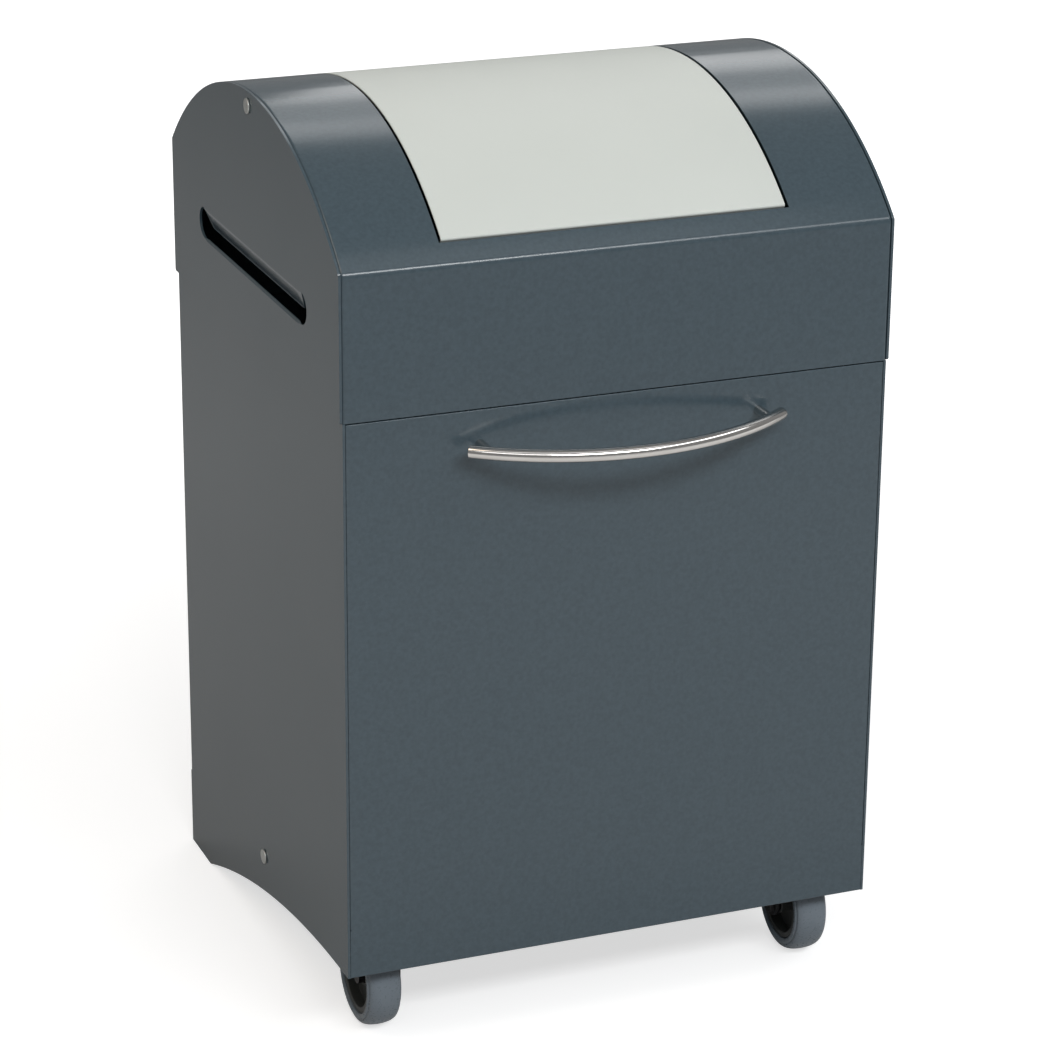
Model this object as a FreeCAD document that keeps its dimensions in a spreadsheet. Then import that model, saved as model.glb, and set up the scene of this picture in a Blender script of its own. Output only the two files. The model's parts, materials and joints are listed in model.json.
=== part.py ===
import math
import os
from types import SimpleNamespace

import FreeCAD
import Part
import Sketcher

# Recycling bin of sheet steel: a housing on two front wheels and two rear feet, a barrel hood with a
# swing flap, and a tilting front that carries the inner container.
# Millimetres, Z up, front towards -Y, origin on the floor under the middle of the housing.

SIZES = (
    # Housing and hood
    ("overall_width", 440.0),
    ("overall_depth", 415.0),
    ("overall_height", 710.0),
    ("seam_level", 513.0),
    ("bend_level", 624.0),
    ("ground_gap", 67.0),
    ("foot_length", 52.0),
    ("side_sheet", 2.0),
    ("panel_sheet", 1.5),
    ("lap_height", 24.0),
    ("lap_gap", 0.5),
    ("rear_flange", 16.0),
    ("hood_flange", 12.0),
    # Hand slot in the hood plates
    ("slot_length", 269.0),
    ("slot_height", 24.5),
    ("slot_rise", 63.0),
    ("grip_gap", 8.0),
    ("grip_depth", 6.0),
    # Studs and nuts between hood and housing
    ("stud_pitch", 130.0),
    ("stud_diameter", 5.0),
    ("stud_length", 9.0),
    ("stud_clearance", 0.5),
    ("nut_width", 8.0),
    ("nut_height", 4.0),
    # Floor panel, tie rod and their screws
    ("wheel_top_gap", 5.0),
    ("floor_front_gap", 23.5),
    ("floor_flange", 18.0),
    ("floor_flange_setback", 127.5),
    ("floor_flange_rear_gap", 14.0),
    ("tie_diameter", 16.0),
    ("tie_thread", 6.0),
    ("head_diameter", 12.0),
    ("head_height", 2.0),
    ("thread_depth", 14.0),
    ("hole_clearance", 0.4),
    # Back panel and its rivets
    ("back_drop", 18.0),
    ("rivet_diameter", 4.0),
    ("rivet_head", 7.0),
    ("rivet_head_height", 1.0),
    ("rivet_tail", 2.0),
    ("rivet_low_gap", 43.0),
    ("rivet_top_gap", 28.0),
    # Door jambs, top rail and magnet
    ("door_depth", 19.5),
    ("rest_gap", 0.3),
    ("jamb_leg", 14.0),
    ("jamb_ear_gap", 6.0),
    ("jamb_top_gap", 14.0),
    ("rail_gap", 3.0),
    ("rail_height", 20.0),
    ("rail_depth", 33.0),
    ("magnet_width", 50.0),
    ("magnet_height", 16.0),
    ("magnet_depth", 12.0),
    # Flap
    ("flap_width", 273.0),
    ("flap_strip", 15.5),
    ("flap_side_gap", 2.3),
    ("flap_end_gap", 1.5),
    ("flap_hem", 10.0),
    ("flap_swing", 30.0),
    ("axle_diameter", 10.0),
    ("axle_thread", 5.0),
    ("running_gap", 0.05),
    ("bush_wall", 2.0),
    ("flap_bush_length", 8.0),
    ("bracket_inset", 28.5),
    ("bracket_sheet", 2.0),
    ("bracket_half", 34.0),
    ("bracket_lobe", 22.0),
    ("stop_radius", 17.0),
    ("stop_pin", 5.0),
    ("stop_slack", 0.5),
    ("stop_overlap", 3.0),
    ("collar_width", 10.0),
    ("collar_wall", 4.0),
    ("collar_gap", 2.0),
    ("collar_clearance", 0.5),
    # Tilting front
    ("door_gap", 0.9),
    ("door_seam", 1.0),
    ("return_ear_gap", 2.0),
    ("door_lip", 12.0),
    ("door_sill", 9.0),
    ("tilt_swing", 28.0),
    ("tilt_rise", 17.0),
    ("tilt_pin", 8.0),
    ("tilt_head", 14.0),
    ("tilt_head_height", 4.0),
    ("ear_sheet", 2.5),
    ("ear_inset", 7.5),
    ("ear_head_gap", 0.5),
    ("ear_rise", 26.0),
    ("ear_cheek_gap", 1.0),
    ("tilt_bush_length", 8.0),
    # Bow handle
    ("handle_drop", 26.5),
    ("handle_diameter", 10.0),
    ("handle_overhang", 13.5),
    ("handle_end_gap", 13.0),
    ("handle_bow", 43.0),
    ("post_spacing", 224.0),
    ("post_diameter", 8.0),
    ("post_screw", 5.0),
    ("post_screw_head", 9.0),
    ("post_screw_head_height", 3.0),
    ("post_screw_depth", 10.0),
    # Cradle and container
    ("cradle_floor_gap", 4.5),
    ("cradle_side_gap", 21.0),
    ("cradle_rear_gap", 84.0),
    ("cradle_lip", 30.0),
    ("cheek_foot_gap", 60.0),
    ("cheek_low", 40.0),
    ("cheek_height", 289.0),
    ("cheek_flange", 15.0),
    ("roller_diameter", 10.0),
    ("roller_length", 14.0),
    ("roller_reach", 300.0),
    ("roller_slack", 0.5),
    ("roller_margin", 4.0),
    ("container_gap", 1.0),
    ("container_front_gap", 4.0),
    ("container_height", 318.0),
    ("container_wall", 2.2),
    ("container_draft", 9.0),
    ("container_rim", 4.0),
    ("container_rim_height", 7.0),
    # Wheels
    ("wheel_inset", 34.0),
    ("wheel_setback", 53.0),
    ("wheel_diameter", 80.0),
    ("wheel_width", 28.0),
    ("tyre_depth", 10.0),
    ("tyre_lip", 5.5),
    ("hub_width", 24.0),
    ("hub_rim", 5.0),
    ("hub_web", 6.0),
    ("hub_web_inset", 9.0),
    ("hub_boss", 18.0),
    ("hub_boss_length", 20.0),
    ("wheel_bolt", 8.0),
    ("wheel_bolt_head", 13.0),
    ("wheel_bolt_head_height", 5.0),
    ("wheel_play", 0.5),
    ("spacer_length", 1.5),
    ("spacer_diameter", 16.0),
    ("wheel_nut_width", 13.0),
    ("wheel_nut_height", 4.0),
    ("cheek_sheet", 3.0),
    ("wheel_cheek_half", 34.0),
    ("wheel_cheek_lobe", 10.0),
    ("wheel_cheek_top", 16.0),
    ("foot_plate", 25.0),
    ("foot_plate_sheet", 2.5),
    ("foot_screw", 5.0),
    ("foot_screw_head", 9.0),
    ("foot_screw_head_height", 2.5),
    ("foot_screw_pitch", 44.0),
    ("foot_screw_inset", 11.0),
)

X_AXIS = FreeCAD.Vector(1, 0, 0)
Y_AXIS = FreeCAD.Vector(0, 1, 0)
Z_AXIS = FreeCAD.Vector(0, 0, 1)
ALONG = {
    "X": FreeCAD.Rotation(Y_AXIS, 90),
    "Y": FreeCAD.Rotation(X_AXIS, -90),
    "Z": FreeCAD.Rotation(),
}
OVERCUT = 1.0
RIVETS = 4

doc = FreeCAD.newDocument("RecyclingBin")
sheet = doc.addObject("Spreadsheet::Sheet", "Sizes")
for row, (alias, value) in enumerate(SIZES, start=1):
    sheet.set("A%d" % row, alias)
    sheet.set("B%d" % row, str(value))
    sheet.setAlias("B%d" % row, alias)
doc.recompute()


class Size:
    # A length or angle: the formula that the document keeps, and its value now.

    def __init__(self, formula, value):
        self.formula = formula
        self.value = value

    def joined(self, sign, other, value):
        return Size("(%s %s %s)" % (self.formula, sign, other.formula), value)

    def __add__(self, other):
        other = as_size(other)
        return self.joined("+", other, self.value + other.value)

    def __sub__(self, other):
        other = as_size(other)
        return self.joined("-", other, self.value - other.value)

    def __mul__(self, other):
        other = as_size(other)
        return self.joined("*", other, self.value * other.value)

    def __truediv__(self, other):
        other = as_size(other)
        return self.joined("/", other, self.value / other.value)

    def __neg__(self):
        return Size("(0 - %s)" % self.formula, -self.value)


def as_size(number):
    if isinstance(number, Size):
        return number
    return Size("(%r)" % float(number), float(number))


def root(size):
    return Size("sqrt(%s)" % size.formula, math.sqrt(size.value))


def sine(angle):
    return Size("sin(%s)" % angle.formula, math.sin(math.radians(angle.value)))


def cosine(angle):
    return Size("cos(%s)" % angle.formula, math.cos(math.radians(angle.value)))


def arc_radius(half_chord, rise):
    return (half_chord * half_chord + rise * rise) / (rise * 2)


def on_arc(radius, y):
    return root(radius * radius - y * y)


size = SimpleNamespace(**{alias: Size("Sizes." + alias, value) for alias, value in SIZES})
ZERO = as_size(0)
pieces = {}


def bind(item, place, value):
    item.setExpression(place, as_size(value).formula)


def put(item, x, y, z):
    bind(item, "Placement.Base.x", x)
    bind(item, "Placement.Base.y", y)
    bind(item, "Placement.Base.z", z)
    return item


def block(name, x, y, z):
    # A box between two limits on each axis.
    item = doc.addObject("Part::Box", name)
    for place, (low, high) in (("Length", x), ("Width", y), ("Height", z)):
        bind(item, place, as_size(high) - low)
    return put(item, x[0], y[0], z[0])


def rod(name, axis, diameter, start, end, u, v):
    # A round bar along one axis; u and v are its place on the other two, in X, Y, Z order.
    item = doc.addObject("Part::Cylinder", name)
    bind(item, "Radius", as_size(diameter) / 2)
    bind(item, "Height", as_size(end) - start)
    item.Placement = FreeCAD.Placement(FreeCAD.Vector(), ALONG[axis])
    place = {"X": (start, u, v), "Y": (u, start, v), "Z": (u, v, start)}[axis]
    return put(item, *place)


def hex_nut(name, axis, width, bore, start, end, u, v):
    # A hexagon nut along X or Z.
    nut = doc.addObject("Part::Prism", name + "_hexagon")
    nut.Polygon = 6
    bind(nut, "Circumradius", width / root(as_size(3)))
    bind(nut, "Height", as_size(end) - start)
    nut.Placement = FreeCAD.Placement(FreeCAD.Vector(), ALONG[axis])
    place = {"X": (start, u, v), "Z": (u, v, start)}[axis]
    put(nut, *place)
    return cut(name, nut, rod(name + "_bore", axis, bore, start, end, u, v))


def ring(name, outside, inside, x_low, x_high, y, z):
    # A plain sleeve along X.
    solid = rod(name + "_solid", "X", outside, x_low, x_high, y, z)
    return cut(name, solid, rod(name + "_bore", "X", inside, x_low, x_high, y, z))


def cut(name, base, *tools):
    # The base less each tool in turn, each of which has to take something away.
    for number, tool in enumerate(tools):
        item = doc.addObject("Part::Cut", "%s_%d" % (name, number))
        item.Base = base
        item.Tool = tool
        base = item
    return base


def fuse(name, *items):
    item = doc.addObject("Part::MultiFuse", name)
    item.Shapes = list(items)
    item.Refine = True
    return item


def group(name, *items):
    item = doc.addObject("Part::Compound", name)
    item.Links = list(items)
    return item


def draw(body, plane_role, name, outline):
    # A closed outline of points (u, v), or (u, v, radius) for a point that an arc leads to:
    # the arc turns left where the radius is positive, and right where it is negative.
    plane = [item for item in body.Origin.OriginFeatures if item.Role == plane_role][0]
    sketch = body.newObject("Sketcher::SketchObject", name)
    sketch.AttachmentSupport = [(plane, "")]
    sketch.MapMode = "FlatFace"
    points = [tuple(as_size(number) for number in point) for point in outline]
    ends = []
    for start, end in zip(points, points[1:] + points[:1]):
        a = FreeCAD.Vector(start[0].value, start[1].value, 0)
        b = FreeCAD.Vector(end[0].value, end[1].value, 0)
        if len(end) == 2:
            edge = sketch.addGeometry(Part.LineSegment(a, b), False)
            ends.append((edge, 1, 2))
            continue
        turn = math.copysign(1, end[2].value)
        radius = abs(end[2].value)
        chord = b - a
        rise = math.sqrt(radius ** 2 - (chord.Length / 2) ** 2)
        left = FreeCAD.Vector(-chord.y, chord.x, 0).normalize()
        centre = (a + b) * 0.5 + left * (rise * turn)
        first, last = (a, b) if turn > 0 else (b, a)
        angles = [math.atan2(p.y - centre.y, p.x - centre.x) for p in (first, last)]
        if angles[1] < angles[0]:
            angles[1] += 2 * math.pi
        circle = Part.Circle(centre, Z_AXIS, radius)
        edge = sketch.addGeometry(Part.ArcOfCircle(circle, *angles), False)
        ends.append((edge, 1, 2) if turn > 0 else (edge, 2, 1))
        number = sketch.addConstraint(Sketcher.Constraint("Radius", edge, radius))
        bind(sketch, "Constraints[%d]" % number, end[2] * turn)
    for place, point in enumerate(points):
        edge, start, _ = ends[place]
        before, _, end = ends[place - 1]
        sketch.addConstraint(Sketcher.Constraint("Coincident", before, end, edge, start))
        for kind, number in (("DistanceX", point[0]), ("DistanceY", point[1])):
            rule = Sketcher.Constraint(kind, -1, 1, edge, start, number.value)
            bind(sketch, "Constraints[%d]" % sketch.addConstraint(rule), number)
    return sketch


def plate(name, outline, x_low, x_high):
    # A flat or long piece: an outline in Y and Z, padded along X.
    body = doc.addObject("PartDesign::Body", name)
    sketch = draw(body, "YZ_Plane", name + "_outline", outline)
    pad = body.newObject("PartDesign::Pad", name + "_pad")
    pad.Profile = sketch
    bind(pad, "Length", as_size(x_high) - x_low)
    return put(body, x_low, ZERO, ZERO)


def turned(name, outline, x, y, z):
    # A turned piece: an outline in X and radius, revolved about a line along X.
    body = doc.addObject("PartDesign::Body", name)
    sketch = draw(body, "XZ_Plane", name + "_outline", outline)
    turn = body.newObject("PartDesign::Revolution", name + "_turn")
    turn.Profile = sketch
    turn.ReferenceAxis = (sketch, ["H_Axis"])
    turn.Angle = 360
    return put(body, x, y, z)


def keep(label, item):
    item.Label = label
    pieces[label] = item
    return item


def mirrored(name, item):
    other = doc.addObject("Part::Mirroring", name)
    other.Source = item
    other.Normal = X_AXIS
    return other


def keep_pair(label, item):
    # The right-hand piece as made, and its mirror image on the left.
    keep(label + "_right", item)
    keep(label + "_left", mirrored(label + "_left", item))
    return item


def both_sides(label, *items):
    # One node of equal small pieces on the right and on the left.
    others = [mirrored("%s_mirror_%d" % (label, number), item) for number, item in enumerate(items)]
    return keep(label, group(label, *items, *others))


# Faces that the pieces share
hood_out = size.overall_width / 2
side_out = hood_out - size.side_sheet
side_in = side_out - size.side_sheet
rear = size.overall_depth / 2
front = -rear
lap_top = size.seam_level + size.lap_height
stud_level = size.seam_level + size.lap_height / 2
stud_places = (-size.stud_pitch, ZERO, size.stud_pitch)
barrel = arc_radius(rear, size.overall_height - size.bend_level)
barrel_level = size.overall_height - barrel
slot_level = size.seam_level + size.slot_rise
flap_reach = rear - size.flap_strip
collar_out = size.axle_diameter + size.collar_wall * 2
axle_level = size.overall_height - size.panel_sheet - size.collar_clearance - collar_out / 2
floor_level = size.wheel_diameter + size.wheel_top_gap
floor_top = floor_level + size.panel_sheet
tie_level = floor_level - size.tie_diameter / 2
rear_skin = rear - size.side_sheet
rear_in = rear_skin - size.panel_sheet
back_low = floor_level - size.back_drop
jamb_face = front + size.door_depth + size.rest_gap
jamb_back = jamb_face + size.panel_sheet
rail_level = size.seam_level + size.rail_gap
door_in = front + size.panel_sheet
door_top = size.seam_level - size.door_seam
ear_lobe = size.ear_sheet + size.tilt_head / 2 + size.ear_head_gap
tilt_y = door_in + ear_lobe
tilt_level = size.ground_gap + size.tilt_rise
ear_top = tilt_level + size.ear_rise
wheel_y = front + size.wheel_setback
wheel_z = size.wheel_diameter / 2
wheel_place = side_in - size.wheel_inset
wheel_in = wheel_place - size.wheel_width / 2
wheel_cheek_high = wheel_in - size.wheel_play - size.spacer_length
wheel_cheek_low = wheel_cheek_high - size.cheek_sheet
foot_screw_x = wheel_cheek_low - size.foot_screw_inset
foot_screw_y = (wheel_y - size.foot_screw_pitch / 2, wheel_y + size.foot_screw_pitch / 2)
rivet_place = side_in - size.rear_flange / 2
rivet_low = back_low + size.rivet_low_gap
rivet_pitch = (size.seam_level - size.rivet_top_gap - rivet_low) / (RIVETS - 1)
rivet_levels = [rivet_low + rivet_pitch * number for number in range(RIVETS)]
cheek_out = side_in - size.cradle_side_gap
cheek_in = cheek_out - size.panel_sheet
cradle_rear = rear_in - size.cradle_rear_gap
cradle_level = floor_top + size.cradle_floor_gap
tray_top = cradle_level + size.panel_sheet

# The handle's bow, and where its posts meet it
handle_level = door_top - size.handle_drop
post_place = size.post_spacing / 2
handle_half = post_place + size.handle_overhang
bow = arc_radius(handle_half, size.handle_bow)
bow_centre = front - size.handle_end_gap - size.handle_bow + bow
post_end = bow_centre - on_arc(bow, post_place)

# The stop roller's place, turned back from where it meets the jamb at full tilt
roller_dy = jamb_back + size.roller_diameter / 2 + size.roller_slack - tilt_y
roller_y = tilt_y + roller_dy * cosine(size.tilt_swing) + size.roller_reach * sine(size.tilt_swing)
roller_z = tilt_level - roller_dy * sine(size.tilt_swing) + size.roller_reach * cosine(size.tilt_swing)


def hood_outline(inset, bottom):
    # The hood seen from the side, moved in by an inset.
    side = rear - inset
    radius = barrel - inset
    shoulder = barrel_level + on_arc(radius, side)
    return ((-side, bottom), (side, bottom), (side, shoulder), (-side, shoulder, radius))


def housing_sides():
    arch = arc_radius(size.overall_depth - size.foot_length, size.ground_gap)
    tongue = rear - size.panel_sheet - size.lap_gap
    outline = (
        (front, size.ground_gap),
        (rear - size.foot_length, ZERO, -arch),
        (rear, ZERO),
        (rear, size.seam_level),
        (tongue, size.seam_level),
        (tongue, lap_top),
        (-tongue, lap_top),
        (-tongue, size.seam_level),
        (front, size.seam_level),
    )
    wall = plate("body_side_plate", outline, side_in, side_out)
    flange = block("body_side_flange", (side_in - size.rear_flange, side_in), (rear_skin, rear),
                   (back_low, size.seam_level))
    tie_hole = rod("body_side_tie_hole", "X", size.tie_thread + size.hole_clearance, side_in, side_out,
                   ZERO, tie_level)
    holes = [tie_hole]
    for number, place in enumerate(stud_places):
        holes.append(rod("body_side_stud_hole_%d" % number, "X", size.stud_diameter + size.stud_clearance,
                         side_in, side_out, place, stud_level))
    for number, level in enumerate(rivet_levels):
        holes.append(rod("body_side_rivet_hole_%d" % number, "Y", size.rivet_diameter, rear_skin, rear,
                         rivet_place, level))
    keep_pair("body_side", cut("body_side", fuse("body_side_bent", wall, flange), *holes))


def back():
    panel = block("back_sheet", (-side_in, side_in), (rear_in, rear_skin), (back_low, lap_top))
    holes = []
    rivets = []
    for number, level in enumerate(rivet_levels):
        for side, place in (("right", rivet_place), ("left", -rivet_place)):
            name = "%s_%d" % (side, number)
            holes.append(rod("back_hole_" + name, "Y", size.rivet_diameter, rear_in, rear_skin, place,
                             level))
        shank = rod("rivet_shank_%d" % number, "Y", size.rivet_diameter, rear_in, rear, rivet_place, level)
        head = rod("rivet_head_%d" % number, "Y", size.rivet_head, rear, rear + size.rivet_head_height,
                   rivet_place, level)
        tail = rod("rivet_tail_%d" % number, "Y", size.rivet_head - size.panel_sheet,
                   rear_in - size.rivet_tail, rear_in, rivet_place, level)
        rivets.append(fuse("rivet_%d" % number, shank, head, tail))
    keep("back_panel", cut("back_panel", panel, *holes))
    both_sides("back_rivets", *rivets)


def floor_and_tie():
    floor_front = front + size.floor_front_gap
    flange_low = floor_level - size.floor_flange
    flange_in = side_in - size.panel_sheet
    deck = block("floor_deck", (-side_in, side_in), (floor_front, rear_in),
                 (floor_level, floor_top))
    sides = []
    holes = []
    for side, low, high in (("right", flange_in, side_in), ("left", -side_in, -flange_in)):
        sides.append(block("floor_flange_" + side, (low, high),
                           (front + size.floor_flange_setback, rear_in - size.floor_flange_rear_gap),
                           (flange_low, floor_level)))
        holes.append(rod("floor_hole_" + side, "X", size.tie_thread + size.hole_clearance, low, high,
                         ZERO, tie_level))
    hem = block("floor_hem", (-flange_in + size.rear_flange, flange_in - size.rear_flange),
                (rear_in - size.panel_sheet, rear_in), (flange_low, floor_level))
    for side, place in (("right", foot_screw_x), ("left", -foot_screw_x)):
        for number, y in enumerate(foot_screw_y):
            holes.append(rod("floor_screw_hole_%s_%d" % (side, number), "Z", size.foot_screw,
                             floor_level, floor_top, place, y))
    keep("floor_panel", cut("floor_panel", fuse("floor_bent", deck, hem, *sides), *holes))

    bar = rod("tie_bar", "X", size.tie_diameter, -flange_in, flange_in, ZERO, tie_level)
    thread_end = side_out - size.thread_depth
    threads = [
        rod("tie_thread_right", "X", size.tie_thread, thread_end, flange_in, ZERO, tie_level),
        rod("tie_thread_left", "X", size.tie_thread, -flange_in, -thread_end, ZERO, tie_level),
    ]
    keep("tie_rod", cut("tie_rod", bar, *threads))
    shank = rod("tie_screw_shank", "X", size.tie_thread, thread_end, side_out, ZERO, tie_level)
    head = rod("tie_screw_head", "X", size.head_diameter, side_out, side_out + size.head_height,
               ZERO, tie_level)
    both_sides("tie_screws", fuse("tie_screw", shank, head))


def jambs_and_rail():
    inner = side_in - size.jamb_leg
    levels = (ear_top + size.jamb_ear_gap, size.seam_level - size.jamb_top_gap)
    stop = block("jamb_stop", (inner, side_in), (jamb_face, jamb_back), levels)
    leg = block("jamb_leg", (side_in - size.panel_sheet, side_in), (jamb_face, jamb_face + size.jamb_leg),
                levels)
    keep_pair("door_jamb", fuse("door_jamb", stop, leg))

    rail_front = front + size.panel_sheet + size.lap_gap
    upright = block("rail_upright", (-side_in, side_in), (rail_front, rail_front + size.panel_sheet),
                    (rail_level, rail_level + size.rail_height))
    shelf = block("rail_shelf", (-side_in, side_in), (rail_front, rail_front + size.rail_depth),
                  (rail_level, rail_level + size.panel_sheet))
    keep("front_top_rail", fuse("front_top_rail", upright, shelf))
    half = size.magnet_width / 2
    keep("catch_magnet", block("catch_magnet", (-half, half), (jamb_face, jamb_face + size.magnet_depth),
                               (rail_level - size.magnet_height, rail_level)))


def hood():
    plate_body = plate("hood_side_plate", hood_outline(ZERO, size.seam_level), side_out, hood_out)
    half = size.slot_length / 2 - size.slot_height / 2
    slot_top = slot_level + size.slot_height / 2
    slot = [block("hood_slot", (side_out, hood_out), (-half, half),
                  (slot_level - size.slot_height / 2, slot_top))]
    for number, place in enumerate((-half, half)):
        slot.append(rod("hood_slot_end_%d" % number, "X", size.slot_height, side_out, hood_out, place,
                        slot_level))
    axle_hole = rod("hood_axle_hole", "X", size.axle_thread + size.hole_clearance, side_out, hood_out,
                    ZERO, axle_level)
    # Grip: the slot's upper edge, rolled in and down so that fingers meet no sharp edge
    drop = size.slot_height - size.grip_gap
    roll = arc_radius(drop, size.grip_depth)
    roll_x = hood_out - roll
    sector = rod("hood_grip_sector", "Y", roll * 2, -half, half, roll_x, slot_top)
    sector.setExpression("Angle", "asin(%s)" % (drop / roll).formula)
    roll_in = rod("hood_grip_hollow", "Y", (roll - size.side_sheet) * 2, -half, half, roll_x, slot_top)
    grip = cut("hood_grip", sector, roll_in)
    studs = []
    nuts = []
    for number, place in enumerate(stud_places):
        studs.append(rod("hood_stud_%d" % number, "X", size.stud_diameter, side_out - size.stud_length,
                         side_out, place, stud_level))
        nuts.append(hex_nut("hood_nut_%d" % number, "X", size.nut_width, size.stud_diameter,
                            side_in - size.nut_height, side_in, place, stud_level))
    pierced = cut("hood_side_cut", plate_body, fuse("hood_slot_round", *slot), axle_hole)
    keep_pair("hood_side", fuse("hood_side", pierced, grip, *studs))
    both_sides("hood_nuts", *nuts)

    below = size.seam_level - OVERCUT
    skin_in = side_out - size.panel_sheet
    skin = plate("hood_skin", hood_outline(ZERO, size.seam_level), -side_out, side_out)
    hollow = plate("hood_hollow", hood_outline(size.panel_sheet, below), -skin_in, skin_in)
    window = plate("hood_window", hood_outline(size.hood_flange, below), -hood_out, hood_out)
    inside = rear - size.panel_sheet
    lap = block("hood_lap", (-hood_out, hood_out), (-inside, inside), (below, lap_top + OVERCUT))
    mouth_x = size.flap_width / 2 + size.flap_side_gap
    mouth_y = flap_reach + size.flap_end_gap
    mouth = block("hood_mouth", (-mouth_x, mouth_x), (-mouth_y, mouth_y),
                  (size.seam_level, size.overall_height + OVERCUT))
    axle_way = rod("hood_axle_way", "X", size.axle_diameter + size.hole_clearance, -side_out, side_out,
                   ZERO, axle_level)
    keep("hood_shell", cut("hood_shell", skin, hollow, window, lap, mouth, axle_way))


def flap():
    inner = barrel - size.panel_sheet
    end_level = on_arc(barrel, flap_reach)
    half = size.flap_width / 2
    # Hems: the front and rear edges are folded square to the sheet, so they stiffen it and hide the inside
    hem_share = (barrel - size.flap_hem) / barrel
    hem_y = flap_reach * hem_share
    hem_z = barrel_level + end_level * hem_share
    fold_y = end_level / barrel * size.panel_sheet
    fold_z = flap_reach / barrel * size.panel_sheet
    seat_share = on_arc(inner, size.panel_sheet) / barrel
    seat_y = flap_reach * seat_share - fold_y
    seat_z = barrel_level + end_level * seat_share + fold_z
    keep("flap_panel", plate("flap_panel", (
        (-seat_y, seat_z),
        (seat_y, seat_z, -inner),
        (hem_y - fold_y, hem_z + fold_z),
        (hem_y, hem_z),
        (flap_reach, barrel_level + end_level),
        (-flap_reach, barrel_level + end_level, barrel),
        (-hem_y, hem_z),
        (fold_y - hem_y, hem_z + fold_z),
    ), -half, half))

    # Bracket: a hanger under the flap, with a half disc round the axle and a notch for the stop pin
    place = half - size.bracket_inset
    outer = place + size.bracket_sheet
    lobe = size.bracket_lobe
    seat = barrel_level + on_arc(inner, size.bracket_half)
    hanger = plate("bracket_hanger", (
        (-lobe, axle_level),
        (lobe, axle_level),
        (size.bracket_half, seat),
        (-size.bracket_half, seat, inner),
    ), place, outer)
    disc = rod("bracket_disc", "X", lobe * 2, place, outer, ZERO, axle_level)
    above = block("bracket_above", (place, outer), (-lobe, lobe), (axle_level, axle_level + lobe))
    along = sine(size.flap_swing)
    down = cosine(size.flap_swing)
    flank = size.stop_pin / 2 + size.stop_slack
    depths = (size.stop_radius - size.stop_pin, lobe * 2)
    corners = [(depth * along + flank * down, axle_level - depth * down + flank * along) for depth in depths]
    notch = plate("bracket_notch", (
        (-corners[0][0], corners[0][1]),
        (-corners[1][0], corners[1][1]),
        corners[1],
        corners[0],
    ), place, outer)
    bush_out = size.axle_diameter + size.running_gap * 2 + size.bush_wall * 2
    bore = rod("bracket_bore", "X", bush_out, place, outer, ZERO, axle_level)
    lobed = fuse("bracket_lobed", hanger, cut("bracket_half_disc", disc, above))
    keep_pair("flap_bracket", cut("flap_bracket", lobed, notch, bore))

    middle = place + size.bracket_sheet / 2
    bush_low = middle - size.flap_bush_length / 2
    keep_pair("flap_bush", ring("flap_bush", bush_out, size.axle_diameter + size.running_gap * 2,
                                bush_low, bush_low + size.flap_bush_length, ZERO, axle_level))

    # Stop collar, clamped to the axle, with a pin that stands in the bracket's notch
    collar_high = bush_low - size.collar_gap
    collar_low = collar_high - size.collar_width
    pin_level = axle_level - size.stop_radius
    collar = rod("stop_collar", "X", collar_out, collar_low, collar_high, ZERO, axle_level)
    arm = block("stop_arm", (collar_low, collar_high), (-size.stop_pin / 2, size.stop_pin / 2),
                (pin_level, axle_level))
    pin = rod("stop_pin", "X", size.stop_pin, collar_low, outer + size.stop_overlap, ZERO, pin_level)
    hole = rod("stop_bore", "X", size.axle_diameter, collar_low, collar_high, ZERO, axle_level)
    keep_pair("flap_stop", cut("flap_stop", fuse("stop_solid", collar, arm, pin), hole))

    thread_end = hood_out - size.thread_depth
    bar = rod("axle_bar", "X", size.axle_diameter, -side_out, side_out, ZERO, axle_level)
    threads = [
        rod("axle_thread_right", "X", size.axle_thread, thread_end, side_out, ZERO, axle_level),
        rod("axle_thread_left", "X", size.axle_thread, -side_out, -thread_end, ZERO, axle_level),
    ]
    keep("flap_axle", cut("flap_axle", bar, *threads))
    shank = rod("axle_screw_shank", "X", size.axle_thread, thread_end, hood_out, ZERO, axle_level)
    head = rod("axle_screw_head", "X", size.head_diameter, hood_out, hood_out + size.head_height,
               ZERO, axle_level)
    both_sides("axle_screws", fuse("axle_screw", shank, head))


def front_panel():
    half = side_in - size.door_gap
    fold = size.panel_sheet
    back_face = front + size.door_depth
    face = block("front_face", (-half, half), (front, door_in), (size.ground_gap, door_top))
    top = block("front_top", (-half, half), (front, back_face), (door_top - fold, door_top))
    lip_half = half - fold
    lip = block("front_lip", (-lip_half, lip_half), (back_face - fold, back_face),
                (door_top - size.door_lip, door_top))
    sill = block("front_sill", (-half, half), (front, front + size.door_sill),
                 (size.ground_gap, size.ground_gap + fold))
    folds = [face, top, lip, sill]
    for side, low, high in (("right", half - fold, half), ("left", -half, fold - half)):
        folds.append(block("front_return_" + side, (low, high), (front, back_face),
                           (ear_top + size.return_ear_gap, door_top)))
    holes = []
    for number, place in enumerate((-post_place, post_place)):
        holes.append(rod("front_hole_%d" % number, "Y", size.post_screw, front, door_in, place,
                         handle_level))
    keep("front_panel", cut("front_panel", fuse("front_bent", *folds), *holes))


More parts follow.
